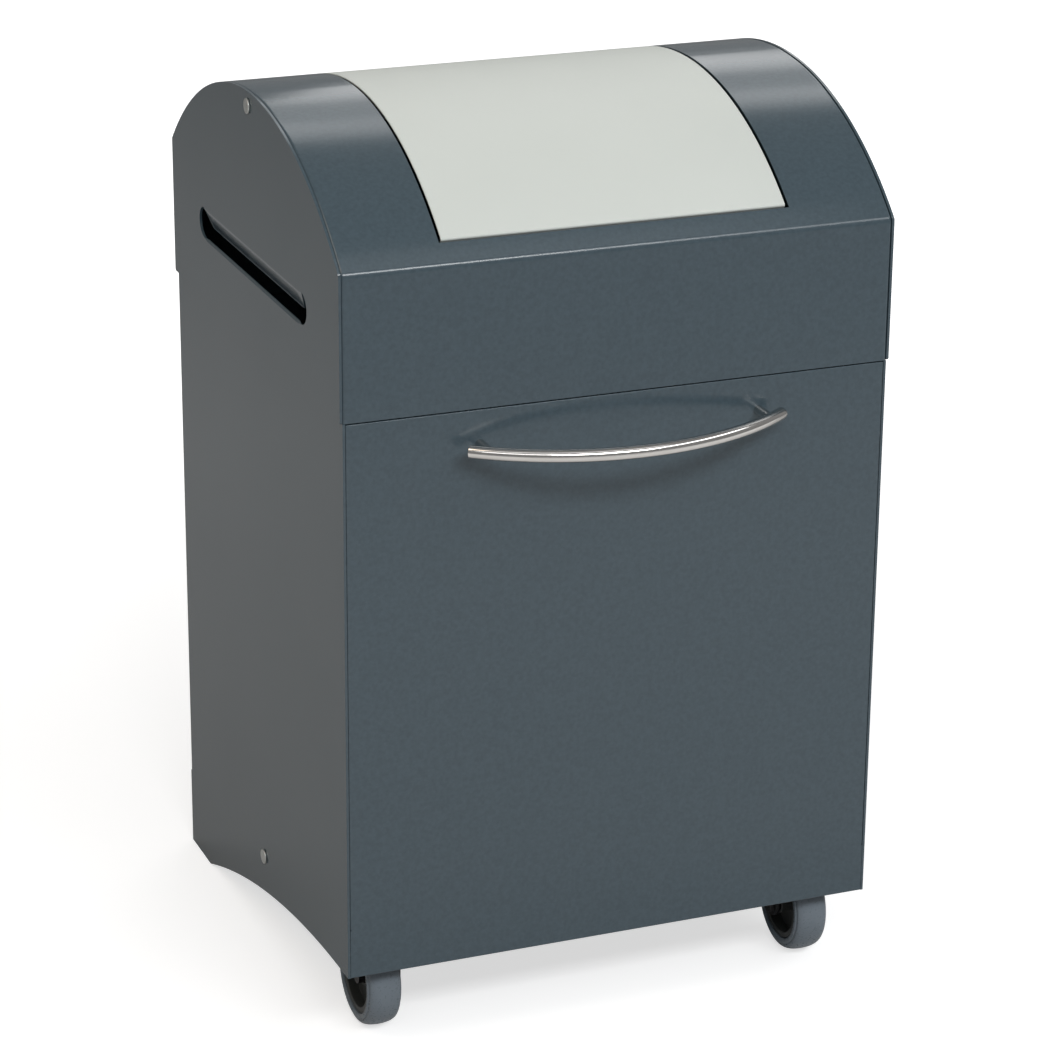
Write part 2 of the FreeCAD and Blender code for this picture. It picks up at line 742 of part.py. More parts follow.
def tilt_hinge():
    outer = side_in - size.ear_inset
    inner = outer - size.ear_sheet
    lobe = rod("ear_lobe", "X", ear_lobe * 2, inner, outer, tilt_y, tilt_level)
    web = block("ear_web", (inner, outer), (door_in, tilt_y),
                (tilt_level - ear_lobe, ear_top))
    flange = block("ear_flange", (cheek_out + size.ear_cheek_gap, inner), (door_in, door_in + size.ear_sheet),
                   (tilt_level - ear_lobe, ear_top))
    bush_out = size.tilt_pin + size.running_gap * 2 + size.bush_wall * 2
    bore = rod("ear_bore", "X", bush_out, inner, outer, tilt_y, tilt_level)
    keep_pair("tilt_ear", cut("tilt_ear", fuse("ear_solid", lobe, web, flange), bore))
    bush_low = (inner + outer) / 2 - size.tilt_bush_length / 2
    keep_pair("tilt_bush", ring("tilt_bush", bush_out, size.tilt_pin + size.running_gap * 2, bush_low,
                                bush_low + size.tilt_bush_length, tilt_y, tilt_level))
    head_high = bush_low - size.rest_gap
    shank = rod("tilt_pin_shank", "X", size.tilt_pin, head_high, side_in, tilt_y, tilt_level)
    head = rod("tilt_pin_head", "X", size.tilt_head, head_high - size.tilt_head_height, head_high,
               tilt_y, tilt_level)
    keep_pair("tilt_pin", fuse("tilt_pin", shank, head))


def bow_bar(name):
    # The handle's bar: part of a ring about a vertical axis, with its ends cut square.
    half_angle = "asin(%s)" % (handle_half / bow).formula
    bar = doc.addObject("Part::Torus", name)
    bind(bar, "Radius1", bow)
    bind(bar, "Radius2", size.handle_diameter / 2)
    bar.setExpression("Angle3", "2 * " + half_angle)
    bar.setExpression("Placement.Rotation.Angle", "270 deg - " + half_angle)
    return put(bar, ZERO, bow_centre, handle_level)


def handle():
    bar = keep("handle_bar", bow_bar("handle_bar"))
    posts = []
    screws = []
    for number, place in enumerate((-post_place, post_place)):
        post = rod("post_%d" % number, "Y", size.post_diameter, post_end, front, place, handle_level)
        thread = rod("post_thread_%d" % number, "Y", size.post_screw, front - size.post_screw_depth, front,
                     place, handle_level)
        posts.append(cut("handle_post_%d" % number, post, bar, thread))
        shank = rod("post_screw_shank_%d" % number, "Y", size.post_screw, front - size.post_screw_depth,
                    door_in, place, handle_level)
        head = rod("post_screw_head_%d" % number, "Y", size.post_screw_head, door_in,
                   door_in + size.post_screw_head_height, place, handle_level)
        screws.append(fuse("handle_screw_%d" % number, shank, head))
    keep("handle_posts", group("handle_posts", *posts))
    keep("handle_screws", group("handle_screws", *screws))


def cradle():
    lip_top = cradle_level + size.cradle_lip
    cheek_foot = cradle_rear - size.cheek_foot_gap
    cheek_top = cradle_level + size.cheek_height
    deck = block("tray_deck", (-cheek_in, cheek_in), (door_in, cradle_rear),
                 (cradle_level, tray_top))
    front_lip = block("tray_front", (-cheek_in, cheek_in), (door_in, door_in + size.panel_sheet),
                      (cradle_level, lip_top))
    rear_lip = block("tray_rear", (-cheek_in, cheek_in),
                     (cradle_rear - size.panel_sheet, cradle_rear), (cradle_level, lip_top))
    keep("cradle_tray", fuse("cradle_tray", deck, front_lip, rear_lip))

    margin = size.roller_diameter / 2 + size.roller_margin
    wall = plate("cheek_wall", (
        (door_in, cradle_level),
        (cheek_foot, cradle_level),
        (cheek_foot, cradle_level + size.cheek_low),
        (roller_y + margin, roller_z),
        (roller_y, roller_z + margin),
        (door_in, cheek_top),
    ), cheek_in, cheek_out)
    flange = block("cheek_flange", (cheek_in - size.cheek_flange, cheek_in),
                   (door_in, door_in + size.panel_sheet), (lip_top, cheek_top))
    keep_pair("cradle_cheek", fuse("cradle_cheek", wall, flange))
    keep_pair("stop_roller", rod("stop_roller", "X", size.roller_diameter, cheek_out,
                                 cheek_out + size.roller_length, roller_y, roller_z))


def tapered(name, x_half, y_low, y_high, z_low, z_high, draft):
    # A box that widens upwards by a draft on each side.
    item = doc.addObject("Part::Wedge", name)
    for place, value in (
        ("Xmin", draft - x_half), ("Xmax", x_half - draft), ("X2min", -x_half), ("X2max", x_half),
        ("Ymin", ZERO), ("Ymax", z_high - z_low),
        ("Zmin", draft - y_high), ("Zmax", -y_low - draft), ("Z2min", -y_high), ("Z2max", -y_low),
    ):
        bind(item, place, value)
    item.Placement = FreeCAD.Placement(FreeCAD.Vector(), FreeCAD.Rotation(X_AXIS, 90))
    return put(item, ZERO, ZERO, z_low)


def container():
    rim_top = tray_top + size.container_height
    rim_half = cheek_in - size.container_gap
    rim_front = door_in + size.container_front_gap
    rim_rear = cradle_rear - size.panel_sheet - size.container_gap
    half = rim_half - size.container_rim
    low = rim_front + size.container_rim
    high = rim_rear - size.container_rim
    wall = size.container_wall
    outside = tapered("container_outside", half, low, high, tray_top, rim_top, size.container_draft)
    inside = tapered("container_inside", half - wall, low + wall, high - wall, tray_top + wall, rim_top,
                     size.container_draft)
    rim = block("container_rim", (-rim_half, rim_half), (rim_front, rim_rear),
                (rim_top - size.container_rim_height, rim_top))
    keep("inner_container", cut("inner_container", fuse("container_solid", outside, rim), inside))


def wheels():
    wide = size.wheel_width / 2
    hub_wide = size.hub_width / 2
    tread = size.wheel_diameter / 2
    hub = tread - size.tyre_depth
    tyre_shoulder = size.tyre_depth - size.tyre_lip
    flat = wide - tyre_shoulder
    shoulder = tread - tyre_shoulder
    place = (wheel_place, wheel_y, wheel_z)
    keep_pair("tyre", turned("tyre", (
        (-wide, hub),
        (wide, hub),
        (wide, shoulder),
        (flat, tread, tyre_shoulder),
        (-flat, tread),
        (-wide, shoulder, tyre_shoulder),
    ), *place))

    bush_out = size.wheel_bolt / 2 + size.running_gap + size.bush_wall
    boss = size.hub_boss / 2
    boss_high = size.hub_boss_length - wide
    rim_in = hub - size.hub_rim
    web_low = size.hub_web_inset - hub_wide
    web_high = web_low + size.hub_web
    keep_pair("wheel_hub", turned("wheel_hub", (
        (-wide, bush_out),
        (boss_high, bush_out),
        (boss_high, boss),
        (web_high, boss),
        (web_high, rim_in),
        (hub_wide, rim_in),
        (hub_wide, hub),
        (-hub_wide, hub),
        (-hub_wide, rim_in),
        (web_low, rim_in),
        (web_low, boss),
        (-wide, boss),
    ), *place))
    boss_end = wheel_place + boss_high
    keep_pair("wheel_bush", ring("wheel_bush", bush_out * 2, size.wheel_bolt + size.running_gap * 2,
                                 wheel_in, boss_end, wheel_y, wheel_z))

    spacer_high = wheel_in - size.wheel_play
    nut_low = wheel_cheek_low - size.wheel_nut_height
    head_low = boss_end + size.wheel_play
    shank = rod("wheel_bolt_shank", "X", size.wheel_bolt, nut_low, head_low, wheel_y, wheel_z)
    head = rod("wheel_bolt_head", "X", size.wheel_bolt_head, head_low,
               head_low + size.wheel_bolt_head_height, wheel_y, wheel_z)
    keep_pair("wheel_bolt", fuse("wheel_bolt", shank, head))
    both_sides("wheel_nuts", hex_nut("wheel_nut", "X", size.wheel_nut_width, size.wheel_bolt, nut_low,
                                     wheel_cheek_low, wheel_y, wheel_z))

    # Bracket: an angle under the floor panel, with a cheek on the wheel's inner side
    half = size.wheel_cheek_half
    lobe = size.wheel_cheek_lobe
    plate_low = floor_level - size.foot_plate_sheet
    cheek = plate("wheel_cheek", (
        (wheel_y - lobe, wheel_z),
        (wheel_y + lobe, wheel_z),
        (wheel_y + size.wheel_cheek_top, floor_level),
        (wheel_y - size.wheel_cheek_top, floor_level),
    ), wheel_cheek_low, wheel_cheek_high)
    end = rod("wheel_cheek_end", "X", lobe * 2, wheel_cheek_low, wheel_cheek_high, wheel_y, wheel_z)
    spacer = rod("wheel_spacer", "X", size.spacer_diameter, wheel_cheek_high, spacer_high, wheel_y, wheel_z)
    foot = block("wheel_foot", (wheel_cheek_low - size.foot_plate, wheel_cheek_low),
                 (wheel_y - half, wheel_y + half), (plate_low, floor_level))
    holes = [rod("wheel_bracket_bore", "X", size.wheel_bolt, wheel_cheek_low, spacer_high, wheel_y, wheel_z)]
    screws = []
    for number, y in enumerate(foot_screw_y):
        holes.append(rod("foot_hole_%d" % number, "Z", size.foot_screw, plate_low, floor_level,
                         foot_screw_x, y))
        shank = rod("foot_screw_shank_%d" % number, "Z", size.foot_screw, plate_low, floor_top,
                    foot_screw_x, y)
        head = rod("foot_screw_head_%d" % number, "Z", size.foot_screw_head, floor_top,
                   floor_top + size.foot_screw_head_height, foot_screw_x, y)
        screws.append(fuse("foot_screw_%d" % number, shank, head))
    keep_pair("wheel_bracket", cut("wheel_bracket", fuse("wheel_angle", cheek, end, spacer, foot), *holes))
    both_sides("bracket_screws", *screws)


def check():
    doc.recompute()
    for item in doc.Objects:
        if "Invalid" in item.State or "Error" in item.State:
            raise RuntimeError("%s failed" % item.Name)
        if item.TypeId == "Part::Cut" and item.Shape.Volume > item.Base.Shape.Volume - 0.01:
            raise RuntimeError("%s takes nothing away" % item.Name)
    for label, item in pieces.items():
        if item.Shape.isNull() or not item.Shape.isValid():
            raise RuntimeError("%s has no valid shape" % label)


def export():
    os.makedirs("parts", exist_ok=True)
    for label, item in pieces.items():
        item.Shape.exportStep("parts/%s.step" % label)
        print(label, len(item.Shape.Solids), round(item.Shape.Volume))


housing_sides()
back()
floor_and_tie()
jambs_and_rail()
hood()
flap()
front_panel()
tilt_hinge()
handle()
cradle()
container()
wheels()
check()
export()
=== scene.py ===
import json
import math

import bmesh
import bpy
from mathutils import Matrix, Vector

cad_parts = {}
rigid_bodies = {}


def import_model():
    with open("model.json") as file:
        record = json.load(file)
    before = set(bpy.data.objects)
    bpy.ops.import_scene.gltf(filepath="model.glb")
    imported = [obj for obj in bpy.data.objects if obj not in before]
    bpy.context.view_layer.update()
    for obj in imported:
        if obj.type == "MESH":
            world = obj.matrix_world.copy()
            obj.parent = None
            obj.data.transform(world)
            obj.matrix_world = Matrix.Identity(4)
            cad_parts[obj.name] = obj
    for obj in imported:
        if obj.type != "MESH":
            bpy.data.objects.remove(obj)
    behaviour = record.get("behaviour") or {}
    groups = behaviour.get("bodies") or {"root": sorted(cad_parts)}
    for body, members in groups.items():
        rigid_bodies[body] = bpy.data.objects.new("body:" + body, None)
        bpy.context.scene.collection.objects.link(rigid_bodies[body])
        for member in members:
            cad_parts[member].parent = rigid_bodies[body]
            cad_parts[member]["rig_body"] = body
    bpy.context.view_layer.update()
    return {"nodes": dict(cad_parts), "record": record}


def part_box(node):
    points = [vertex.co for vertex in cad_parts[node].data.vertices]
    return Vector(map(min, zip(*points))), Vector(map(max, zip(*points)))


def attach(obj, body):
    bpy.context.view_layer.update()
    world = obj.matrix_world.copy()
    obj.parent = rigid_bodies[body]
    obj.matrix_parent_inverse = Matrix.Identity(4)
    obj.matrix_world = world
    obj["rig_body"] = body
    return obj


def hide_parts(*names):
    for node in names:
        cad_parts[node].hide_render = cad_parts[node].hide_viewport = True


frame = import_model()
nodes = frame["nodes"]
slotOf = {part["node"]: part["material_slot"] for part in frame["record"]["subparts"]}
bodyOf = {node: obj["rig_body"] for node, obj in nodes.items()}
handOf = {-1: "left", 1: "right"}
print("frame loaded:", len(nodes), "CAD nodes")


# finishes

noiseLow, noiseHigh = 0.3, 0.7  # most values of a noise lie between these
mixFactor, mixDark, mixLight, mixResult = 0, 6, 7, 2  # sockets of a colour mix


def newFinish(name, metallic=0.0):
    material = bpy.data.materials.new(name)
    material.use_nodes = True
    tree = material.node_tree
    shader = tree.nodes["Principled BSDF"]
    shader.inputs["Metallic"].default_value = metallic
    return material, tree, shader


def grain(tree, scale, detail, stretch=(1.0, 1.0, 1.0), ownMap=None):
    if ownMap:
        place = tree.nodes.new("ShaderNodeUVMap")
        place.uv_map = ownMap
    else:
        place = tree.nodes.new("ShaderNodeTexCoord")
    along = tree.nodes.new("ShaderNodeMapping")
    along.inputs["Scale"].default_value = stretch
    noise = tree.nodes.new("ShaderNodeTexNoise")
    noise.inputs["Scale"].default_value = scale
    noise.inputs["Detail"].default_value = detail
    tree.links.new(place.outputs["UV" if ownMap else "Object"], along.inputs["Vector"])
    tree.links.new(along.outputs["Vector"], noise.inputs["Vector"])
    return noise.outputs["Fac"]


def ranged(tree, source, fromLow, fromHigh, toLow, toHigh):
    spread = tree.nodes.new("ShaderNodeMapRange")
    spread.inputs["From Min"].default_value = fromLow
    spread.inputs["From Max"].default_value = fromHigh
    spread.inputs["To Min"].default_value = toLow
    spread.inputs["To Max"].default_value = toHigh
    tree.links.new(source, spread.inputs["Value"])
    return spread


def maths(tree, operation, *sources):
    node = tree.nodes.new("ShaderNodeMath")
    node.operation = operation
    for socket, source in zip(node.inputs, sources):
        tree.links.new(source, socket)
    return node


def between(tree, fac, low, high):
    return ranged(tree, fac, noiseLow, noiseHigh, low, high).outputs["Result"]


def tinted(tree, fac, dark, light):
    mix = tree.nodes.new("ShaderNodeMix")
    mix.data_type = "RGBA"
    mix.inputs[mixDark].default_value = (*dark, 1.0)
    mix.inputs[mixLight].default_value = (*light, 1.0)
    tree.links.new(between(tree, fac, 0.0, 1.0), mix.inputs[mixFactor])
    return mix.outputs[mixResult]


def added(tree, one, two, share):
    mix = maths(tree, "MULTIPLY_ADD", two)
    mix.inputs[1].default_value = share
    tree.links.new(one, mix.inputs[2])
    return mix.outputs[0]


def dressed(tree, shader, look, tone, gloss, relief):
    # colour, roughness and bump, each from the grain that it is given
    tree.links.new(tinted(tree, tone, look["dark"], look["light"]), shader.inputs["Base Color"])
    tree.links.new(between(tree, gloss, *look["rough"]), shader.inputs["Roughness"])
    bump = tree.nodes.new("ShaderNodeBump")
    bump.inputs["Strength"].default_value = look["strength"]
    bump.inputs["Distance"].default_value = look["depth"]
    tree.links.new(relief, bump.inputs["Height"])
    tree.links.new(bump.outputs["Normal"], shader.inputs["Normal"])


# powder coat with a fine texture: a pebbled skin, a faint mottling and a slow change of gloss
powderCoat = {
    "dark": (0.047, 0.070, 0.086), "light": (0.057, 0.084, 0.102), "rough": (0.16, 0.20),
    "mottle": 330.0, "pebble": 1500.0, "cloud": 9.0, "mottleRelief": 0.5, "strength": 0.14, "depth": 0.00008,
}


def makePowderCoat(name, look):
    material, tree, shader = newFinish(name)
    mottle = grain(tree, look["mottle"], detail=3.0)
    pebble = grain(tree, look["pebble"], detail=1.0)
    cloud = grain(tree, look["cloud"], detail=3.0)
    skin = added(tree, pebble, mottle, look["mottleRelief"])
    dressed(tree, shader, look, tone=mottle, gloss=cloud, relief=skin)
    return material


# smooth coat of the flap: almost even, with a little orange peel
flapCoat = {
    "dark": (0.575, 0.610, 0.580), "light": (0.595, 0.630, 0.600), "rough": (0.58, 0.64),
    "peel": 260.0, "cloud": 7.0, "strength": 0.05, "depth": 0.00012,
}

# black dip coat of the wheel brackets and their bolts; its near-black is also painted shade, so that they
# read as the shade of the wheel recess
blackDipAndShade = {
    "dark": (0.007, 0.007, 0.008), "light": (0.012, 0.012, 0.013), "rough": (0.36, 0.44),
    "peel": 600.0, "cloud": 40.0, "strength": 0.05, "depth": 0.00006,
}


def makeSmoothCoat(name, look):
    material, tree, shader = newFinish(name)
    peel = grain(tree, look["peel"], detail=1.0)
    cloud = grain(tree, look["cloud"], detail=2.0)
    dressed(tree, shader, look, tone=cloud, gloss=peel, relief=peel)
    return material


# stainless bar, brushed along its length: the bar's own map runs along it and round it
barMap = "alongBar"
brushedBar = {
    "dark": (0.62, 0.60, 0.575), "light": (0.70, 0.68, 0.655), "rough": (0.11, 0.15),
    "stretch": (0.025, 1.0, 1.0), "lines": 1800.0, "strength": 0.03, "depth": 0.00002,
}


def makeBrushed(name, look):
    material, tree, shader = newFinish(name, metallic=1.0)
    lines = grain(tree, look["lines"], detail=2.0, stretch=look["stretch"], ownMap=barMap)
    dressed(tree, shader, look, tone=lines, gloss=lines, relief=lines)
    return material


# zinc plate, bright on the hidden fittings and dull on the screw heads: cloudy, with fine specks
zincPlate = {
    "dark": (0.46, 0.47, 0.48), "light": (0.60, 0.61, 0.62), "rough": (0.30, 0.46),
    "specks": 900.0, "cloud": 120.0, "strength": 0.08, "depth": 0.00005,
}
dullZinc = {
    "dark": (0.50, 0.51, 0.49), "light": (0.62, 0.63, 0.61), "rough": (0.42, 0.55),
    "specks": 1200.0, "cloud": 300.0, "strength": 0.08, "depth": 0.00005,
}


def makeZinc(name, look):
    material, tree, shader = newFinish(name, metallic=1.0)
    specks = grain(tree, look["specks"], detail=2.0)
    cloud = grain(tree, look["cloud"], detail=4.0)
    dressed(tree, shader, look, tone=cloud, gloss=cloud, relief=specks)
    return material


# moulded plastics and rubbers: a spark-eroded grain and a little change of tone
naturalNylon = {
    "dark": (0.56, 0.54, 0.46), "light": (0.66, 0.64, 0.57), "rough": (0.38, 0.46),
    "grain": 700.0, "cloud": 60.0, "strength": 0.06, "depth": 0.00006,
}
hubPlastic = {
    "dark": (0.034, 0.037, 0.035), "light": (0.044, 0.047, 0.045), "rough": (0.42, 0.50),
    "grain": 900.0, "cloud": 70.0, "strength": 0.08, "depth": 0.00006,
}
containerPlastic = {
    "dark": (0.010, 0.011, 0.013), "light": (0.014, 0.016, 0.018), "rough": (0.46, 0.56),
    "grain": 620.0, "cloud": 12.0, "strength": 0.20, "depth": 0.00012,
}
magnetCase = {
    "dark": (0.007, 0.007, 0.007), "light": (0.012, 0.012, 0.012), "rough": (0.46, 0.54),
    "grain": 800.0, "cloud": 90.0, "strength": 0.12, "depth": 0.00008,
}
tyreRubber = {
    "dark": (0.128, 0.156, 0.182), "light": (0.152, 0.182, 0.211), "rough": (0.26, 0.32),
    "grain": 520.0, "cloud": 45.0, "strength": 0.06, "depth": 0.00008,
}
bufferRubber = {
    "dark": (0.006, 0.006, 0.006), "light": (0.010, 0.010, 0.010), "rough": (0.62, 0.72),
    "grain": 900.0, "cloud": 80.0, "strength": 0.12, "depth": 0.00008,
}


def makeMoulded(name, look):
    material, tree, shader = newFinish(name)
    fine = grain(tree, look["grain"], detail=2.0)
    cloud = grain(tree, look["cloud"], detail=3.0)
    dressed(tree, shader, look, tone=cloud, gloss=fine, relief=fine)
    return material


finishOf = {
    "housing_paint": makePowderCoat("housingPaint", powderCoat),
    "flap_paint": makeSmoothCoat("flapPaint", flapCoat),
    "stainless": makeBrushed("brushedStainless", brushedBar),
    "zinc_steel": makeZinc("zincPlate", zincPlate),
    # the black dip of the wheel brackets and bolts is partly painted shade in the wheel recess
    "black_steel": makeSmoothCoat("blackDipAndShade", blackDipAndShade),
    "screw_heads": makeZinc("dullZinc", dullZinc),
    "nylon": makeMoulded("naturalNylon", naturalNylon),
    "hub_plastic": makeMoulded("hubPlastic", hubPlastic),
    "container_plastic": makeMoulded("containerPlastic", containerPlastic),
    "magnet_case": makeMoulded("magnetCase", magnetCase),
    "tyre_rubber": makeMoulded("tyreRubber", tyreRubber),
    "buffer_rubber": makeMoulded("bufferRubber", bufferRubber),
}
print("finishes made:", len(finishOf))


# mesh helpers

weldGap = 0.00002
bendSteps = 5  # faces round a sheet's bend
cornerSteps = 3  # faces round a softened corner of a turned form
cornerShare = 0.45  # the most of an edge that such a corner takes up
bevelSteps = 2  # faces round an eased edge
sheetAngle = 55  # degrees: a sheet's bends stay below this, its rims above
normalWeight = 80  # above 50, large faces lead the shading


def addPatch(bm, rows, skip=None):
    grid = [[bm.verts.new(co) for co in row] for row in rows]
    for i in range(len(grid) - 1):
        for j in range(len(grid[i]) - 1):
            if skip and skip(i, j):
                continue
            bm.faces.new((grid[i][j], grid[i][j + 1], grid[i + 1][j + 1], grid[i + 1][j]))


def cleaned(bm):
    bmesh.ops.remove_doubles(bm, verts=bm.verts, dist=weldGap)
    bmesh.ops.dissolve_degenerate(bm, edges=bm.edges, dist=weldGap)
    loose = [v for v in bm.verts if not v.link_faces]
    bmesh.ops.delete(bm, geom=loose, context="VERTS")
    bmesh.ops.recalc_face_normals(bm, faces=bm.faces)


def soften(obj, width, angle):
    soft = obj.modifiers.new("eased", "BEVEL")
    soft.width = width
    soft.segments = bevelSteps
    soft.limit_method = "ANGLE"
    soft.angle_limit = math.radians(angle)


def evenShade(obj):
    normals = obj.modifiers.new("normals", "WEIGHTED_NORMAL")
    normals.weight = normalWeight


def sheetMetal(bm, outward, gauge, rim):
    # a bent sheet from its outer surface: gauge thick on the inner side, with a softened rim
    cleaned(bm)
    outer = max(bm.faces, key=lambda face: face.calc_center_median().dot(Vector(outward)))
    if outer.normal.dot(Vector(outward)) < 0:
        bmesh.ops.reverse_faces(bm, faces=bm.faces)
    mesh = bpy.data.meshes.new("sheet")
    bm.to_mesh(mesh)
    bm.free()
    blank = bpy.data.objects.new("sheet", mesh)
    bpy.context.scene.collection.objects.link(blank)
    thick = blank.modifiers.new("gauge", "SOLIDIFY")
    thick.thickness = gauge
    thick.offset = -1.0
    thick.use_even_offset = True
    soften(blank, rim, sheetAngle)
    seen = blank.evaluated_get(bpy.context.evaluated_depsgraph_get())
    made = bmesh.new()
    made.from_mesh(seen.to_mesh())
    seen.to_mesh_clear()
    bpy.data.objects.remove(blank)
    bpy.data.meshes.remove(mesh)
    return made


def addTurned(bm, profile, centre, axis, steps):
    # a turned form: (place along the axis, radius) pairs about a line through centre
    turn = Vector(axis).to_track_quat("Z", "Y").to_matrix()
    rings = []
    for along, radius in profile:
        ring = []
        for k in range(steps if radius > 0 else 1):
            angle = 2 * math.pi * k / steps
            place = Vector((radius * math.cos(angle), radius * math.sin(angle), along))
            ring.append(bm.verts.new(Vector(centre) + turn @ place))
        rings.append(ring)
    for one, two in zip(rings, rings[1:]):
        for k in range(steps):
            corners = [one[k % len(one)], one[(k + 1) % len(one)], two[(k + 1) % len(two)], two[k % len(two)]]
            bm.faces.new(list(dict.fromkeys(corners)))


def quarterTurn(steps):
    return [math.pi / 2 * k / steps for k in range(steps + 1)]


def rounded(corners, radius):
    # a profile with each inner corner replaced by a small arc
    made = [corners[0]]
    for before, here, after in zip(corners, corners[1:], corners[2:]):
        p = Vector(here)
        a = Vector(before) - p
        b = Vector(after) - p
        reach = min(radius, a.length * cornerShare, b.length * cornerShare)
        start = p + a.normalized() * reach
        end = p + b.normalized() * reach
        for k in range(cornerSteps + 1):
            t = k / cornerSteps
            made.append(tuple(start * (1 - t) ** 2 + p * 2 * t * (1 - t) + end * t ** 2))
    made.append(corners[-1])
    return made


def placePiece(name, bm, *replaced):
    # the piece takes its body and its finish from the first node that it stands for
    mesh = bpy.data.meshes.new(name)
    bm.to_mesh(mesh)
    bm.free()
    mesh.shade_smooth()
    piece = bpy.data.objects.new(name, mesh)
    bpy.context.scene.collection.objects.link(piece)
    evenShade(piece)
    mesh.materials.append(finishOf[slotOf[replaced[0]]])
    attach(piece, bodyOf[replaced[0]])
    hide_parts(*replaced)


# places that the sheet pieces share, read from the CAD nodes

shellLow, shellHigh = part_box("hood_shell")
shellHalf = shellHigh.x
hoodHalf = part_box("hood_side_right")[1].x
halfDepth = shellHigh.y
seamLevel = shellLow.z
crown = shellHigh.z
bendLevel = max(v.co.z for v in nodes["hood_shell"].data.vertices if v.co.y < shellLow.y + weldGap)
barrelRise = crown - bendLevel
barrelRadius = (halfDepth ** 2 + barrelRise ** 2) / (2 * barrelRise)
barrelLevel = crown - barrelRadius
barrelSteps = 44


def hoodProfile(bend, stops=()):
    # (y, z, outward y, outward z) along the front bend, the barrel and the rear bend
    cy = halfDepth - bend
    cz = barrelLevel + math.sqrt((barrelRadius - bend) ** 2 - cy ** 2)
    turn = math.atan2(cz - barrelLevel, -cy)
    angles = [turn + (math.pi - 2 * turn) * k / barrelSteps for k in range(barrelSteps + 1)]
    angles += [math.acos(y / barrelRadius) for y in stops]
    front = [(-cy + bend * math.cos(a), cz + bend * math.sin(a), math.cos(a), math.sin(a))
             for a in (math.pi + (turn - math.pi) * k / bendSteps for k in range(bendSteps))]
    over = [(barrelRadius * math.cos(a), barrelLevel + barrelRadius * math.sin(a), math.cos(a), math.sin(a))
            for a in sorted(set(angles), reverse=True)]
    back = [(-y, z, -ny, nz) for y, z, ny, nz in reversed(front)]
    return front, over, back


# hood plates: arched ends with the hand slot, its pressed grip lip and its rolled lower edge

placeDigits = 7  # places nearer than this count as one
hoodPlate = {
    "gauge": 0.002, "rim": 0.0004, "bend": 0.008, "corner": 0.0022, "cornerSteps": 4,
    "slotLength": 0.269, "slotHeight": 0.0245, "slotRise": 0.063, "slotSteps": 10,
    # runs of the grip lip: (length, first and last angle to the plate in degrees, faces)
    "gripBends": ((0.0028, 0, 22, 6), (0.0122, 22, 23, 2), (0.0012, 23, 10, 3), (0.0007, 10, 10, 1)),
    "gripTaper": 0.012, "taperSteps": 8, "gripRunOut": 0.002, "leastGrip": 0.02,
    "lowRoll": 0.0020, "rollSteps": 6,
    "studRise": 0.012, "studPitch": 0.130, "studRadius": 0.0025, "studLength": 0.009,
    "studRoot": 0.4, "studSoft": 0.0005, "studSteps": 20,  # the root is a share of the gauge
}


